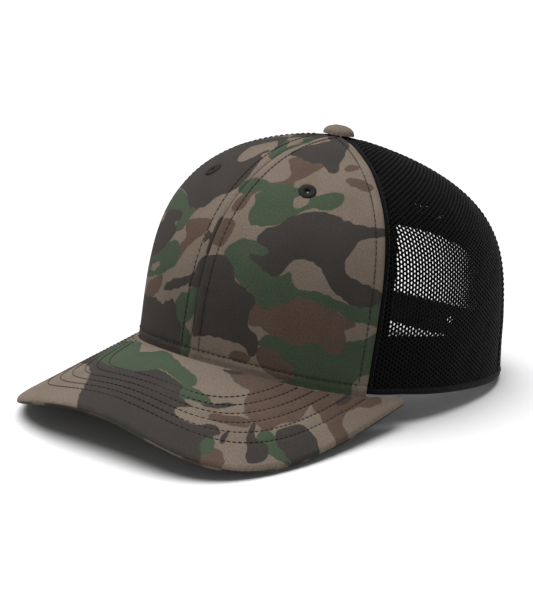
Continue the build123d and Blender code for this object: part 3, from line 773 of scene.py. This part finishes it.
def plastic_material(name, colour, rough):
    """Moulded plastic with a fine grain and faint handling marks."""
    material, tree, surface = start_material(name, roughness=rough)
    place = millimetres(tree, False)
    fine = noise_at(tree, place, 1.4, 4.0)
    broad = noise_at(tree, place, 0.12, 3.0)
    tone = shaded(
        tree, (*colour, 1), remap(tree, broad, 0.3, 0.7, 0.9, 1.12), remap(tree, fine, 0.3, 0.7, 0.93, 1.07)
    )
    tree.links.new(tone, surface.inputs["Base Color"])
    tree.links.new(remap(tree, broad, 0.3, 0.7, rough - 0.08, rough + 0.1), surface.inputs["Roughness"])
    bumped(tree, surface, [(fine, 0.02), (broad, 0.04)])
    return material


def metal_material(name):
    """Pressed steel with brushing marks and slight dulling."""
    material, tree, surface = start_material(name, roughness=0.35, metallic=1.0)
    place = millimetres(tree, False)
    stretched = add(tree, "ShaderNodeVectorMath", {0: place, 1: (6.0, 0.5, 0.5)}, operation="MULTIPLY")
    brushed = noise_at(tree, stretched.outputs[0], 1.5, 4.0)
    dull = noise_at(tree, place, 0.4, 3.0)
    tone = shaded(
        tree,
        (0.62, 0.61, 0.59, 1),
        remap(tree, brushed, 0.3, 0.7, 0.85, 1.1),
        remap(tree, dull, 0.3, 0.7, 0.8, 1.1),
    )
    tree.links.new(tone, surface.inputs["Base Color"])
    tree.links.new(remap(tree, dull, 0.3, 0.7, 0.25, 0.5), surface.inputs["Roughness"])
    bumped(tree, surface, [(brushed, 0.01)])
    return material


CAMO = camo_material()
MESH_YARN = cloth_material("mesh_yarn", (0.0018, 0.0018, 0.0019), rib=0.45, gloss=0.04, rough=0.5)
TAPE = cloth_material("black_tape", (0.004, 0.004, 0.0042), rib=0.9)
BUCKRAM = cloth_material("buckram", (0.02, 0.019, 0.017), rib=1.1, deep=0.15)
BAND = cloth_material("sweatband_twill", (0.0035, 0.0035, 0.0037), rib=0.8)
PADDING = cloth_material("band_padding", (0.012, 0.012, 0.012), rib=1.5, deep=0.1)
LABEL = cloth_material("label_satin", (0.36, 0.36, 0.345), rib=0.3, gloss=0.4, rough=0.5, vary=0.04)
THREAD = thread_material("black_thread", (0.006, 0.0054, 0.005))
STRAP = plastic_material("strap_plastic", (0.004, 0.004, 0.0043), 0.42)
BOARD = plastic_material("board_plastic", (0.04, 0.04, 0.04), 0.6)
METAL = metal_material("button_metal")

# ---------------------------------------------------------------- front panels


def bump_line(distance, height, width):
    """A soft ridge or groove along a line."""
    return height * np.exp(-((distance / width) ** 2))


def front_cloth(turn, rise):
    """How far the front cloth stands out, from its seams, stitching and fall."""
    here = span(turn, rise)
    from_seam = span(np.full_like(turn, FRONT_SEAM), rise) - here
    height = bump_line(here, -0.55, 0.75) + bump_line(from_seam, -0.5, 0.75)
    for distance in (here, from_seam):
        height += bump_line(distance - 2.7, 0.22, 1.5)
        height += bump_line(distance - SEAM_STITCH, -0.24, 0.6)
        pucker = wobble(distance * 0.3, rise, 6.5, 2)
        height += 0.09 * pucker * np.exp(-(((distance - SEAM_STITCH) / 3.5) ** 2))
    height += bump_line(rise - BASE_STITCH, -0.24, 0.6) + bump_line(rise - 1.8, 0.18, 1.2)
    height += 0.08 * wobble(here, rise * 0.3, 6.0, 4) * np.exp(-(((rise - BASE_STITCH) / 4) ** 2))
    eye = float(span(EYELET_TURN, EYELET_RISE))
    ring = np.hypot(here - eye, rise - EYELET_RISE)
    height += bump_line(ring - 4.9, -0.2, 0.9)
    height += 0.22 * wobble(here, rise, 46, 6)
    return height, here, ring


def panel_grid(start, end, low, columns, rows):
    """Turns and rises that fill a panel from seam to seam."""
    turn = np.linspace(start, end, columns)[:, None] * np.ones((1, rows))
    up = np.linspace(0, 1, rows)[None, :]
    rise = low + (length_up(turn) - TIP_RADIUS - low) * up
    middle = np.linspace(1, -1, columns)[:, None]
    shift = middle * HALF_SEAM_GAP / per_degree(np.clip(turn, 0.5, 179.5), np.maximum(rise, 0))
    return turn + shift, rise


def sides_printed(here, rise, mirror):
    """The print on the left or the right front panel."""
    across = -here if mirror else here
    fields = print_fields(across, rise, CROWN_PRINT)
    hidden = free_print(across, rise)
    beyond = -across - 62
    return {ink: np.maximum(fields[ink], np.minimum(hidden[ink], beyond)) for ink in PRINT_INKS}


def outside_eyelet(ring):
    """Which quads of a panel's grid lie clear of the eyelet's hole."""
    quads = grid_quads(*ring.shape)
    return ring.ravel()[quads].min(axis=1) > EYELET_HOLE_R


def make_front(mirror):
    """One front panel and the stiff backing behind it."""
    name = "right" if mirror else "left"
    turn, rise = panel_grid(0, FRONT_SEAM, -VISOR_TUCK, 220, 380)
    height, here, ring = front_cloth(turn, rise)
    inside = np.minimum(-height, 0.2) + FABRIC - 0.05
    solid = shell(turn, rise, -height, inside, outside_eyelet(ring))
    flat = cloth_places(-here if mirror else here, rise)
    fields = {ink: np.tile(v.ravel(), 2) for ink, v in sides_printed(here, rise, mirror).items()}
    piece(
        f"front_panel_{name}_cloth", solid, CAMO,
        [f"front_panel_{name}"], mirror, cloth=flat, fields=fields,
    )
    turn, rise = panel_grid(0, FRONT_SEAM, BAND_LOW, 70, 120)
    _, here, ring = front_cloth(turn, rise)
    weave = 0.05 * wobble(here, rise, 9, 3)
    solid = shell(turn, rise, BACKING_OUT + weave, BACKING_IN + weave, outside_eyelet(ring))
    piece(
        f"front_backing_{name}_cloth", solid, BUCKRAM,
        [f"front_backing_{name}"], mirror, cloth=cloth_places(here, rise),
    )


# ---------------------------------------------------------------- mesh panels

CELL_WIDE = 1.95
CELL_HIGH = 2.2
HOLE_WIDE = 0.64
HOLE_HIGH = 0.72
HEM = 1.9
MESH_OUT = 0.05
MESH_IN = 1.0
MESH_LOW = 0.8
MESH_TIP_GAP = 9.0
MESH_SLACK = 0.12
YARN_ROUND = 0.15
LATTICE_COLUMNS = 38
LATTICE_ROWS = 80
MERGE_STEPS = 500  # lattice corners closer than a step of 1/500 mm are one point
HEM_DEPTH = 1.08
RIM_HEM = 3.2
ARCH_FOOT = 142.0


def lattice(start, end, keep):
    """Knitted mesh between two seams: rounded holes in columns, each column half a step off."""
    middle = (start + end) / 2
    near = (CELL_WIDE**2 - CELL_HIGH**2 / 4) / (2 * CELL_WIDE)
    far = (CELL_WIDE**2 + CELL_HIGH**2 / 4) / (2 * CELL_WIDE)
    half = CELL_HIGH / 2
    corners = np.array(
        [[far, 0], [near, half], [-near, half], [-far, 0], [-near, -half], [near, -half]]
    )
    outline = np.stack([corners, (corners + np.roll(corners, -1, axis=0)) / 2], axis=1)
    outline = outline.reshape(-1, 2)
    swing = np.arctan2(outline[:, 1] / CELL_HIGH, outline[:, 0] / CELL_WIDE)
    hole = np.stack([HOLE_WIDE * np.cos(swing), HOLE_HIGH * np.sin(swing)], axis=1)
    i, j = np.meshgrid(
        np.arange(-LATTICE_COLUMNS, LATTICE_COLUMNS + 1), np.arange(LATTICE_ROWS), indexing="ij"
    )
    centre = np.stack([i * CELL_WIDE, (j + (i % 2) / 2) * CELL_HIGH], axis=-1).reshape(-1, 2)
    rings = centre[:, None, :] + outline[None]
    rise = rings[..., 1]
    turn = turn_from_span(middle, rings[..., 0], rise)
    edge = HEM * 0.55 / per_degree(np.clip(turn, 1, 179), rise)
    inside = (turn > start + edge) & (turn < end - edge) & (rise > MESH_LOW)
    inside &= rise < length_up(turn) - MESH_TIP_GAP
    inside &= keep(turn, rise)
    inside = inside.all(axis=1)
    centre, rings = centre[inside], rings[inside]
    key, merged = np.unique(np.round(rings.reshape(-1, 2) * MERGE_STEPS), axis=0, return_inverse=True)
    merged = merged.reshape(len(centre), 12)
    shared = key / MERGE_STEPS
    holes = (centre[:, None, :] + hole[None]).reshape(-1, 2)
    flat = np.concatenate([shared, holes])
    hole_index = len(shared) + np.arange(len(centre) * 12).reshape(-1, 12)
    nxt = np.roll(np.arange(12), -1)
    quads = np.stack(
        [merged, merged[:, nxt], hole_index[:, nxt], hole_index], axis=-1
    ).reshape(-1, 4)
    turn = turn_from_span(middle, flat[:, 0], flat[:, 1])
    rounded = np.where(np.arange(len(flat)) < len(shared), 0.0, YARN_ROUND)
    slack = MESH_SLACK * wobble(flat[:, 0], flat[:, 1], 23, 5)
    outer = skin(turn, flat[:, 1], MESH_OUT + rounded + slack)[0]
    inner = skin(turn, flat[:, 1], MESH_IN - rounded + slack)[0]
    return thicken(outer, inner, quads)


def ribbon(turn_low, turn_high, rises, depth_out, depth_in, columns=6, swell=0.0):
    """A strip of cloth on the crown between two turns, given at each rise."""
    across = np.linspace(0, 1, columns)[:, None]
    turn = turn_low[None, :] + (turn_high - turn_low)[None, :] * across
    rise = np.broadcast_to(rises[None, :], turn.shape)
    bulge = swell * np.sin(np.pi * across) * np.ones_like(turn)
    return shell(turn, rise, depth_out - bulge, depth_in)


def seam_hem(seam, side, middle, low=0.0):
    """The doubled cloth of a mesh panel beside one of its seams."""
    rises = np.linspace(low, length_up(seam) - TIP_RADIUS, 170)
    step = per_degree(np.clip(seam + side, 1, 179), rises)
    first = seam + side * HALF_SEAM_GAP / step
    last = seam + side * np.minimum(HEM / step, abs(middle - seam))
    return ribbon(first, last, rises, 0.0, HEM_DEPTH, swell=0.12)


def rim_hem(start, end):
    """The turned edge along the bottom of the mesh."""
    turn = np.linspace(start + 0.1, end - 0.1, 90)[:, None] * np.ones((1, 6))
    across = np.linspace(0, 1, 6)[None, :]
    rise = across * RIM_HEM * np.ones_like(turn)
    return shell(turn, rise, -0.15 * np.sin(np.pi * across), HEM_DEPTH)


def arch_level(turn, rise, grow):
    """Below 1 inside the rear opening, grown by a margin."""
    place = skin(turn, rise)[0]
    half, tall = ARCH_HALF_WIDTH + grow, ARCH_TOP - ARCH_SPRING + grow
    up = np.maximum(place[..., 2] - ARCH_SPRING, 0) / tall
    return (np.abs(place[..., 0]) / half) ** ARCH_ROUND + up**ARCH_ROUND


def rise_at_height(turn, z):
    """The rise at which a line up the crown reaches a height."""
    low, high = np.zeros_like(z), length_up(turn) + 0 * z
    for _ in range(26):
        middle = (low + high) / 2
        short = skin(turn, middle)[0][..., 2] < z
        low, high = np.where(short, middle, low), np.where(short, high, middle)
    return (low + high) / 2


def arch_crest():
    """The rise of the rear opening's top, beside the middle of the back."""
    return float(rise_at_height(np.array(179.0), np.array(ARCH_TOP)))


def arch_places(swing, inset, depth):
    """Points beside the rear opening's edge: swing 0 to 180 goes over the crest."""
    over = np.clip(swing, 0, 180)
    half, tall = ARCH_HALF_WIDTH - inset, ARCH_TOP - ARCH_SPRING - inset
    x = half * np.abs(np.cos(np.radians(over))) ** (2 / ARCH_ROUND)
    z = ARCH_SPRING + tall * np.abs(np.sin(np.radians(over))) ** (2 / ARCH_ROUND)
    z = z - np.abs(swing - over) / ARCH_LEG * (ARCH_SPRING - RIM_BACK_RISE)
    low, high = np.full_like(x, 90.0), np.full_like(x, 180.0)
    for _ in range(22):
        middle = (low + high) / 2
        wide = skin(middle, rise_at_height(middle, z))[0][..., 0] > x
        low, high = np.where(wide, middle, low), np.where(wide, high, middle)
    turn = (low + high) / 2
    place, normal = skin(turn, rise_at_height(turn, z), depth)
    side = np.where(over <= 90, 1.0, -1.0)
    place[..., 0] *= side
    normal[..., 0] *= side
    return place, normal


def make_mesh_panels(mirror):
    """The side and the rear mesh panel of one side."""
    name = "right" if mirror else "left"
    side_middle = (FRONT_SEAM + BACK_SEAM) / 2
    rear_middle = (BACK_SEAM + 180) / 2
    side = join(
        lattice(FRONT_SEAM, BACK_SEAM, lambda turn, rise: rise > 0),
        seam_hem(FRONT_SEAM, 1, side_middle),
        seam_hem(BACK_SEAM, -1, side_middle),
        rim_hem(FRONT_SEAM, BACK_SEAM),
    )
    rear = join(
        lattice(BACK_SEAM, 180, lambda turn, rise: arch_level(turn, rise, 1.0) > 1),
        seam_hem(BACK_SEAM, 1, rear_middle),
        seam_hem(180, -1, rear_middle, low=arch_crest() + 1.0),
        rim_hem(BACK_SEAM, ARCH_FOOT),
    )
    for panel, solid in (("side", side), ("rear", rear)):
        piece(
            f"{panel}_mesh_{name}_knit", solid, MESH_YARN,
            [f"{panel}_mesh_{name}"], mirror,
        )


# ---------------------------------------------------------------- tapes, binding, stitching


TAPE_OUT = 1.55
TAPE_IN = 1.97
TAPE_HALF = 7.0
TAPE_TIP_GAP = 5.4
TAPE_TIP_ANGLE = 26.0
MESH_STITCH = 1.7
MESH_LIFT = -0.16  # depth of the thread on the hems, which stand out more than the front cloth


def seam_tape(name, seam, mirror=False, low=BAND_LOW):
    """A tape over a seam, inside the crown, narrowing to its tip."""
    rises = np.linspace(low, length_up(seam) - TAPE_TIP_GAP, 150)
    place = skin(seam, rises)[0]
    tip = np.hypot(place[:, 0], place[:, 1] + CROWN_TIP_FORWARD)
    half = np.minimum(TAPE_HALF, math.radians(TAPE_TIP_ANGLE) * tip)
    at = np.clip(seam, 1, 179)
    degrees = half / per_degree(at, rises)
    strip = ribbon(
        seam - degrees, seam + degrees, rises, TAPE_OUT, TAPE_IN, columns=12, swell=-0.06
    )
    piece(f"{name}_woven", strip, TAPE, [name], mirror)


def make_binding():
    """Tape folded over the edge of the rear opening, with its row of stitches."""
    outside = [(-6.2, -0.28), (-5.9, -0.42), (-4.2, -0.34), (-2, -0.44), (0, -0.5), (1.6, -0.42),
               (2.4, 0.05), (2.65, 0.55), (2.4, 1.05), (1.6, 1.55), (0, 1.65), (-3, 1.6), (-6.2, 1.5)]
    inside = [(-6.2, -0.05), (-5.8, -0.05), (-4.2, -0.02), (-2, -0.04), (0, -0.05), (1.4, -0.02),
              (1.9, 0.25), (2.05, 0.55), (1.9, 0.85), (1.4, 1.12), (0, 1.16), (-3, 1.14), (-6.2, 1.12)]
    swing = np.linspace(-ARCH_LEG, 180 + ARCH_LEG, 150)[:, None]
    layers = []
    for profile in (outside, inside):
        inset, depth = (np.array(values)[None, :] for values in zip(*profile))
        layers.append(arch_places(*np.broadcast_arrays(swing, inset, depth))[0].reshape(-1, 3))
    cloth = thicken(*layers, grid_quads(len(swing), len(outside)))
    line, normal = arch_places(*np.broadcast_arrays(swing[:, 0], -4.6, -0.42))
    piece("arch_binding_folded", cloth, TAPE, ["arch_binding"])
    return stitch_row(line, normal)


def crown_row(turn, rise, lift=-0.06):
    """A line of stitches on the crown through given turns and rises."""
    return stitch_row(*skin(turn, rise, lift))


def make_stitching(binding_row):
    """Every row of stitches on the crown."""
    rows = [binding_row]
    low = BASE_STITCH + 1.0
    rises = np.linspace(low, float(length_up(0)) - BUTTON_R - 2.0, 300)
    for seam, side in ((0.0, 1), (FRONT_SEAM, -1)):
        turn = turn_from_span(seam, side * SEAM_STITCH * np.ones_like(rises), rises)
        rows += [crown_row(turn, rises), crown_row(-turn, rises)]
    turns = np.linspace(-FRONT_SEAM + 3, FRONT_SEAM - 3, 300)
    rows.append(crown_row(turns, np.full_like(turns, BASE_STITCH)))
    for seam, side in ((FRONT_SEAM, 1), (BACK_SEAM, -1), (BACK_SEAM, 1)):
        rises = np.linspace(3.0, float(length_up(seam)) - BUTTON_R - 4.0, 300)
        turn = turn_from_span(seam, side * MESH_STITCH * np.ones_like(rises), rises)
        rows += [crown_row(turn, rises, MESH_LIFT), crown_row(-turn, rises, MESH_LIFT)]
    turns = np.linspace(FRONT_SEAM + 1, BAND_END - 2, 200)
    for side in (1, -1):
        rows.append(crown_row(side * turns, np.full_like(turns, 2.0), MESH_LIFT))
    piece("crown_stitches", join(*rows), THREAD, ["crown_stitching"])


def make_eyelet(mirror):
    """A sewn eyelet: close stitches laid like spokes round a small hole."""
    name = "eyelet_right" if mirror else "eyelet_left"
    place, normal = (v[0] for v in skin([EYELET_TURN], [EYELET_RISE]))
    side = np.cross([0, 0, 1.0], normal)
    side /= np.linalg.norm(side)
    up = np.cross(normal, side)
    spokes, per_spoke = 34, 6
    swing = np.linspace(0, 2 * np.pi, spokes * per_spoke, endpoint=False)[:, None]
    profile = [(EYELET_HOLE_R, -0.6), (1.7, -1.6), (0.7, -1.5), (0.8, -0.6), (1.3, 0.25),
               (1.9, 0.45), (2.6, 0.6), (3.4, 0.5), (4.05, 0.2), (4.35, -0.3)]
    radius, height = (np.array(values)[None, :] for values in zip(*profile))
    ridge = 0.1 * np.abs(np.sin(swing * spokes / 2)) * np.where(height > 0, 1.0, 0.0)
    radius = radius * (1 + 0.025 * np.sin(swing * spokes) * (radius > 4))
    height = height + ridge
    rings = (
        place + (radius * np.cos(swing))[..., None] * side + (radius * np.sin(swing))[..., None] * up
        + height[..., None] * normal
    )
    columns, rows = rings.shape[:2]
    i, j = np.meshgrid(np.arange(columns), np.arange(rows), indexing="ij")
    start, after = i * rows + j, (i + 1) % columns * rows + j
    closed = (j + 1) % rows - j
    quads = np.stack([start, after, after + closed, start + closed], axis=-1).reshape(-1, 4)
    piece(f"{name}_sewn", (rings.reshape(-1, 3), quads), THREAD, [name], mirror)


# ---------------------------------------------------------------- sweatband


BAND_ROWS = 18
BAND_PER_DEGREE = 1.4
LABEL_TURN = 112.0
LABEL_HALF = 11.0


def band_piece(name, start, end, low, high, depth, thickness, material, node, columns, roll=0.0):
    """A band inside the crown."""
    turn = np.linspace(start, end, columns)[:, None] * np.ones((1, BAND_ROWS))
    up = np.linspace(0, 1, BAND_ROWS)[None, :]
    rise = low + (high - low) * up * np.ones_like(turn)
    along = turn * BAND_PER_DEGREE
    swell = roll * np.sin(np.pi * up) + 0.16 * wobble(along, rise, 17, 5) * np.sin(np.pi * up)
    solid = shell(turn, rise, depth, depth + thickness + np.maximum(swell, 0))
    return piece(name, solid, material, [node], cloth=cloth_places(along, rise))


def make_sweatband():
    """Padding, sweatband and blank label."""
    padding = band_piece(
        "sweatband_lining_foam", -133, 133, 2.5, 26.0, 2.35, 1.2, PADDING,
        "sweatband_lining", 240,
    )
    band_piece(
        "sweatband_cloth", -BAND_END, BAND_END, BAND_LOW, BAND_HIGH, 4.05, 0.7, BAND,
        "sweatband", 300, roll=0.25,
    )
    half = LABEL_HALF / float(per_degree(np.array(LABEL_TURN), np.array(15.0)))
    band_piece(
        "care_label_satin", LABEL_TURN - half, LABEL_TURN + half, 6.25, 22.25, 5.35, 0.22, LABEL,
        "care_label", 40,
    )


# ---------------------------------------------------------------- visor


COVER = 0.55
THREAD_SINK = 0.16
ROOT_GAP = 0.3
LIP = 0.03


def lead_curve(side_inset, front_inset, count):
    """Evenly spaced points of the visor's front edge, moved in by an inset."""
    swing = np.radians(np.linspace(-90, 90, 6001))
    power = 2 / VISOR_ROUND
    side_y = float(rim_xy(np.array(VISOR_END))[1])
    reach = side_y + RIM_HALF_LENGTH + VISOR_LENGTH - front_inset
    x = (VISOR_HALF_WIDTH - side_inset) * np.abs(np.sin(swing)) ** power * np.sign(swing)
    y = side_y - reach * np.cos(swing).clip(0) ** power
    done = np.concatenate([[0], np.cumsum(np.hypot(np.diff(x), np.diff(y)))])
    even = np.linspace(0, done[-1], count)
    return np.interp(even, done, x), np.interp(even, done, y)


def row_distance(x, y, side_inset, front_inset):
    """Roughly how far a point lies from a row of stitches along the visor."""
    side_y = float(rim_xy(np.array(VISOR_END))[1])
    half = VISOR_HALF_WIDTH - side_inset
    reach = side_y + RIM_HALF_LENGTH + VISOR_LENGTH - front_inset
    u, v = np.abs(x) / half, np.maximum(side_y - y, 0.0) / reach
    level = (u**VISOR_ROUND + v**VISOR_ROUND) ** (1 / VISOR_ROUND)
    safe = np.maximum(level, 0.05)
    slope = np.hypot((u / safe) ** (VISOR_ROUND - 1) / half, (v / safe) ** (VISOR_ROUND - 1) / reach)
    return (level - 1) / np.maximum(slope, 1e-4)


def visor_rows():
    """The insets of the stitch rows at the side and at the front."""
    steps = [VISOR_ROW_STEP * k for k in range(VISOR_ROWS)]
    return [(VISOR_ROW_SIDE + step, VISOR_ROW_FRONT + step) for step in steps]


def visor_dip(x, y):
    """The quilting of the visor's cloth by its stitch rows."""
    dip = np.zeros_like(x)
    for side_inset, front_inset in visor_rows():
        dip += bump_line(row_distance(x, y, side_inset, front_inset), -0.30, 1.0)
    return dip


def visor_cover(name, upper, node):
    """One of the two covers, from the crown's foot round the visor's thick edge."""
    columns, rows, turns = 340, 130, 10
    lead_x, lead_y = lead_curve(0, 0, columns)
    share = np.linspace(-1, 1, columns)
    turn = VISOR_END * np.sign(share) * np.abs(share) ** 0.93
    rim_x, rim_y = rim_xy(np.abs(turn))
    rim_x = rim_x * np.sign(turn) * 1.004
    rim_y = rim_y - ROOT_GAP
    half = VISOR_THICK / 2
    length = np.hypot(lead_x - rim_x, lead_y - rim_y)
    grids = []
    for shrink in (0.0, COVER):
        radius = half - shrink
        top_end = 1 - half / np.maximum(length, 2 * half)
        along = np.linspace(0, 1, rows)[None, :] * top_end[:, None]
        x = rim_x[:, None] + (lead_x - rim_x)[:, None] * along
        y = rim_y[:, None] + (lead_y - rim_y)[:, None] * along
        drop = np.full_like(x, shrink)
        swing = np.linspace(0, np.pi / 2, turns + 1)[1:][None, :]
        beyond = radius / half * (1 - top_end)[:, None] * np.sin(swing)
        edge_along = top_end[:, None] + beyond
        edge_x = rim_x[:, None] + (lead_x - rim_x)[:, None] * edge_along
        edge_y = rim_y[:, None] + (lead_y - rim_y)[:, None] * edge_along
        edge_drop = (half - radius * np.cos(swing) - LIP) * np.ones_like(edge_x)
        edge_drop = np.minimum(edge_drop, half - LIP)
        x = np.concatenate([x, edge_x], axis=1)
        y = np.concatenate([y, edge_y], axis=1)
        drop = np.concatenate([drop, edge_drop], axis=1)
        root = np.hypot(x - rim_x[:, None], y - rim_y[:, None])
        dip = visor_dip(x, y) + bump_line(root, -0.7, 1.3) + 0.14 * wobble(x, y, 34, 8)
        dip *= np.clip((half - drop) / half, 0, 1)
        z = visor_z(x, y) - (drop - dip if upper else VISOR_THICK - drop + dip)
        grids.append(np.stack([x, y, z], axis=-1))
    outer, inner = grids
    flat_x, flat_y = outer[..., 0].ravel(), outer[..., 1].ravel()
    fields = print_fields(flat_x, flat_y, VISOR_PRINT) if upper else free_print(flat_x, flat_y)
    fields = {ink: np.tile(values, 2) for ink, values in fields.items()}
    solid = thicken(outer.reshape(-1, 3), inner.reshape(-1, 3), grid_quads(*outer.shape[:2]))
    piece(
        name, solid, CAMO, [node], cloth=cloth_places(flat_x, flat_y), fields=fields
    )


def make_visor():
    """Both covers and the rows of stitches through them."""
    visor_cover("visor_top_cloth", True, "visor_top_cover")
    visor_cover("visor_under_cloth", False, "visor_under_cover")
    rows = []
    for side_inset, front_inset in visor_rows():
        x, y = lead_curve(side_inset, front_inset, 1200)
        share = np.arctan2(x / RIM_HALF_WIDTH, (RIM_WIDEST_BACK - y) / RIM_HALF_LENGTH)
        rim_x, rim_y = rim_xy(np.degrees(np.abs(share)))
        clear = np.hypot(x, y - RIM_WIDEST_BACK) > np.hypot(rim_x, rim_y - RIM_WIDEST_BACK) + 1.2
        x, y = x[clear], y[clear]
        slope_x = -x / np.sqrt(VISOR_RADIUS**2 - x * x)
        normal = np.stack([-slope_x, np.full_like(x, -VISOR_SLOPE), np.ones_like(x)], axis=1)
        normal /= np.linalg.norm(normal, axis=1, keepdims=True)
        for side, level in ((1, -THREAD_SINK), (-1, -VISOR_THICK + THREAD_SINK)):
            line = np.stack([x, y, visor_z(x, y) + level], axis=1)
            rows.append(stitch_row(line, side * normal))
    piece("visor_stitches", join(*rows), THREAD, ["visor_stitching"])


# ---------------------------------------------------------------- button


BUTTON_LIFT = 0.3
BUTTON_FOLDS = 22
BUTTON_CLOTH = 8  # half the width of the cloth over the button, in millimetres


def make_button():
    """Cloth pulled over the button, gathered under its edge."""
    count = 90
    u, v = np.meshgrid(np.linspace(-1, 1, count), np.linspace(-1, 1, count), indexing="ij")
    x, y = u * np.sqrt(1 - v * v / 2), v * np.sqrt(1 - u * u / 2)
    far = np.clip(np.hypot(x, y), 0, 1)
    swing = np.arctan2(y, x)
    cloth_x, cloth_y = x * BUTTON_CLOTH, y * BUTTON_CLOTH
    folds = 0.10 * np.sin(swing * BUTTON_FOLDS) * far**8 + 0.05 * wobble(cloth_x, cloth_y, 5, 3)
    low = CROWN_HEIGHT + BUTTON_LIFT
    layers = []
    for shrink in (0.0, FABRIC):
        radius, tall = BUTTON_R - shrink, BUTTON_HEIGHT - BUTTON_LIFT - shrink
        bulge = np.sqrt(np.clip(1 - far**2.3, 0, 1)) ** 0.85
        z = low + tall * bulge + folds * (bulge > 0.05)
        grow = radius + folds * 0.6
        layers.append(np.stack([x * grow, y * grow - CROWN_TIP_FORWARD, z], -1).reshape(-1, 3))
    fields = {ink: np.full(2 * count**2, -9.0) for ink in PRINT_INKS}
    fields["brown"] = np.tile((wobble(cloth_x, cloth_y, 14, 2).ravel() - 0.75) * 6, 2)
    flat = cloth_places(cloth_x, cloth_y)
    solid = thicken(*layers, grid_quads(count, count))
    piece("button_cloth", solid, CAMO, ["button_cover"], cloth=flat, fields=fields)


# ---------------------------------------------------------------- all the pieces

for is_right in (False, True):
    make_front(is_right)
    make_mesh_panels(is_right)
    make_eyelet(is_right)
    side_name = "right" if is_right else "left"
    seam_tape(f"front_seam_tape_{side_name}", FRONT_SEAM, is_right)
    seam_tape(f"back_seam_tape_{side_name}", BACK_SEAM, is_right)
seam_tape("centre_seam_tape", 0.0)
seam_tape("rear_seam_tape", 180.0, low=arch_crest() + 5.0)
make_stitching(make_binding())
make_sweatband()
make_visor()
make_button()

for node, material in (
    ("visor_board", BOARD), ("button_shell", METAL), ("button_rivet", METAL),
    ("button_washer", METAL), ("strap_with_holes", STRAP), ("strap_with_pegs", STRAP),
    ("strap_root_left", STRAP), ("strap_root_right", STRAP),
):
    slots = frame["nodes"][node].data.materials
    slots.clear()
    slots.append(material)

# ---------------------------------------------------------------- camera

CAMERA_TURN = math.radians(34.8)
CAMERA_UP = math.radians(9.8)
CAMERA_ROLL = math.radians(9.26)
CAMERA_FAR = 999.0
LOOK_ASIDE = (-0.0238, 0.0211)

toward = np.array([
    math.sin(CAMERA_TURN) * math.cos(CAMERA_UP),
    -math.cos(CAMERA_TURN) * math.cos(CAMERA_UP),
    math.sin(CAMERA_UP),
])
right = np.array([math.cos(CAMERA_TURN), math.sin(CAMERA_TURN), 0.0])
above = np.cross(toward, right)
rolled_right = right * math.cos(CAMERA_ROLL) + above * math.sin(CAMERA_ROLL)
rolled_up = above * math.cos(CAMERA_ROLL) - right * math.sin(CAMERA_ROLL)
look = -toward + LOOK_ASIDE[0] * rolled_right + LOOK_ASIDE[1] * rolled_up
look, lift, eye = HEAD_TURN @ look, HEAD_TURN @ rolled_up, to_row(CAMERA_FAR * toward)
look /= np.linalg.norm(look)
lift -= look * (look @ lift)
lift /= np.linalg.norm(lift)
camera_data = bpy.data.cameras.new("camera")
camera_data.sensor_width = 36.0
camera_data.lens = 115.4
camera = bpy.data.objects.new("camera", camera_data)
axes = np.stack([np.cross(look, lift), lift, -look], axis=1)
camera.matrix_world = Matrix.Translation(Vector(eye)) @ Matrix(axes.tolist()).to_4x4()
bpy.context.scene.collection.objects.link(camera)
bpy.context.scene.camera = camera

# ---------------------------------------------------------------- floor and light

FLOOR = 8.0
floor_mesh = bpy.data.meshes.new("floor")
floor_mesh.from_pydata(
    [(-FLOOR, -FLOOR, 0), (FLOOR, -FLOOR, 0), (FLOOR, FLOOR, 0), (-FLOOR, FLOOR, 0)], [], [(0, 1, 2, 3)]
)
floor_material, _, floor_surface = start_material("pale_floor", roughness=0.9)
floor_surface.inputs["Base Color"].default_value = (0.44, 0.44, 0.44, 1)
floor_mesh.materials.append(floor_material)
floor = bpy.data.objects.new("floor", floor_mesh)
bpy.context.scene.collection.objects.link(floor)

SKY_HORIZON = 1.0
SKY_ABOVE = 0.32
world = bpy.data.worlds.new("studio")
bpy.context.scene.world = world
world.use_nodes = True
sky = world.node_tree
toward_sky = add(sky, "ShaderNodeTexCoord").outputs["Generated"]
height = add(sky, "ShaderNodeSeparateXYZ", {0: toward_sky}).outputs["Z"]
glow = remap(sky, height, 0.17, 0.40, SKY_HORIZON, SKY_ABOVE, smooth=True)
sky.nodes["Background"].inputs["Color"].default_value = (1, 1, 1, 1)
sky.links.new(glow, sky.nodes["Background"].inputs["Strength"])


def broad_light(name, toward_light, angle, strength):
    """A far, broad light that comes from one direction."""
    data = bpy.data.lights.new(name, "SUN")
    data.angle = math.radians(angle)
    data.energy = strength
    light = bpy.data.objects.new(name, data)
    light.rotation_euler = Vector(toward_light).to_track_quat("Z", "Y").to_euler()
    bpy.context.scene.collection.objects.link(light)


broad_light("overhead", (-0.14, -0.10, 0.98), 60, 7.2)
bpy.context.scene.view_settings.view_transform = "Standard"
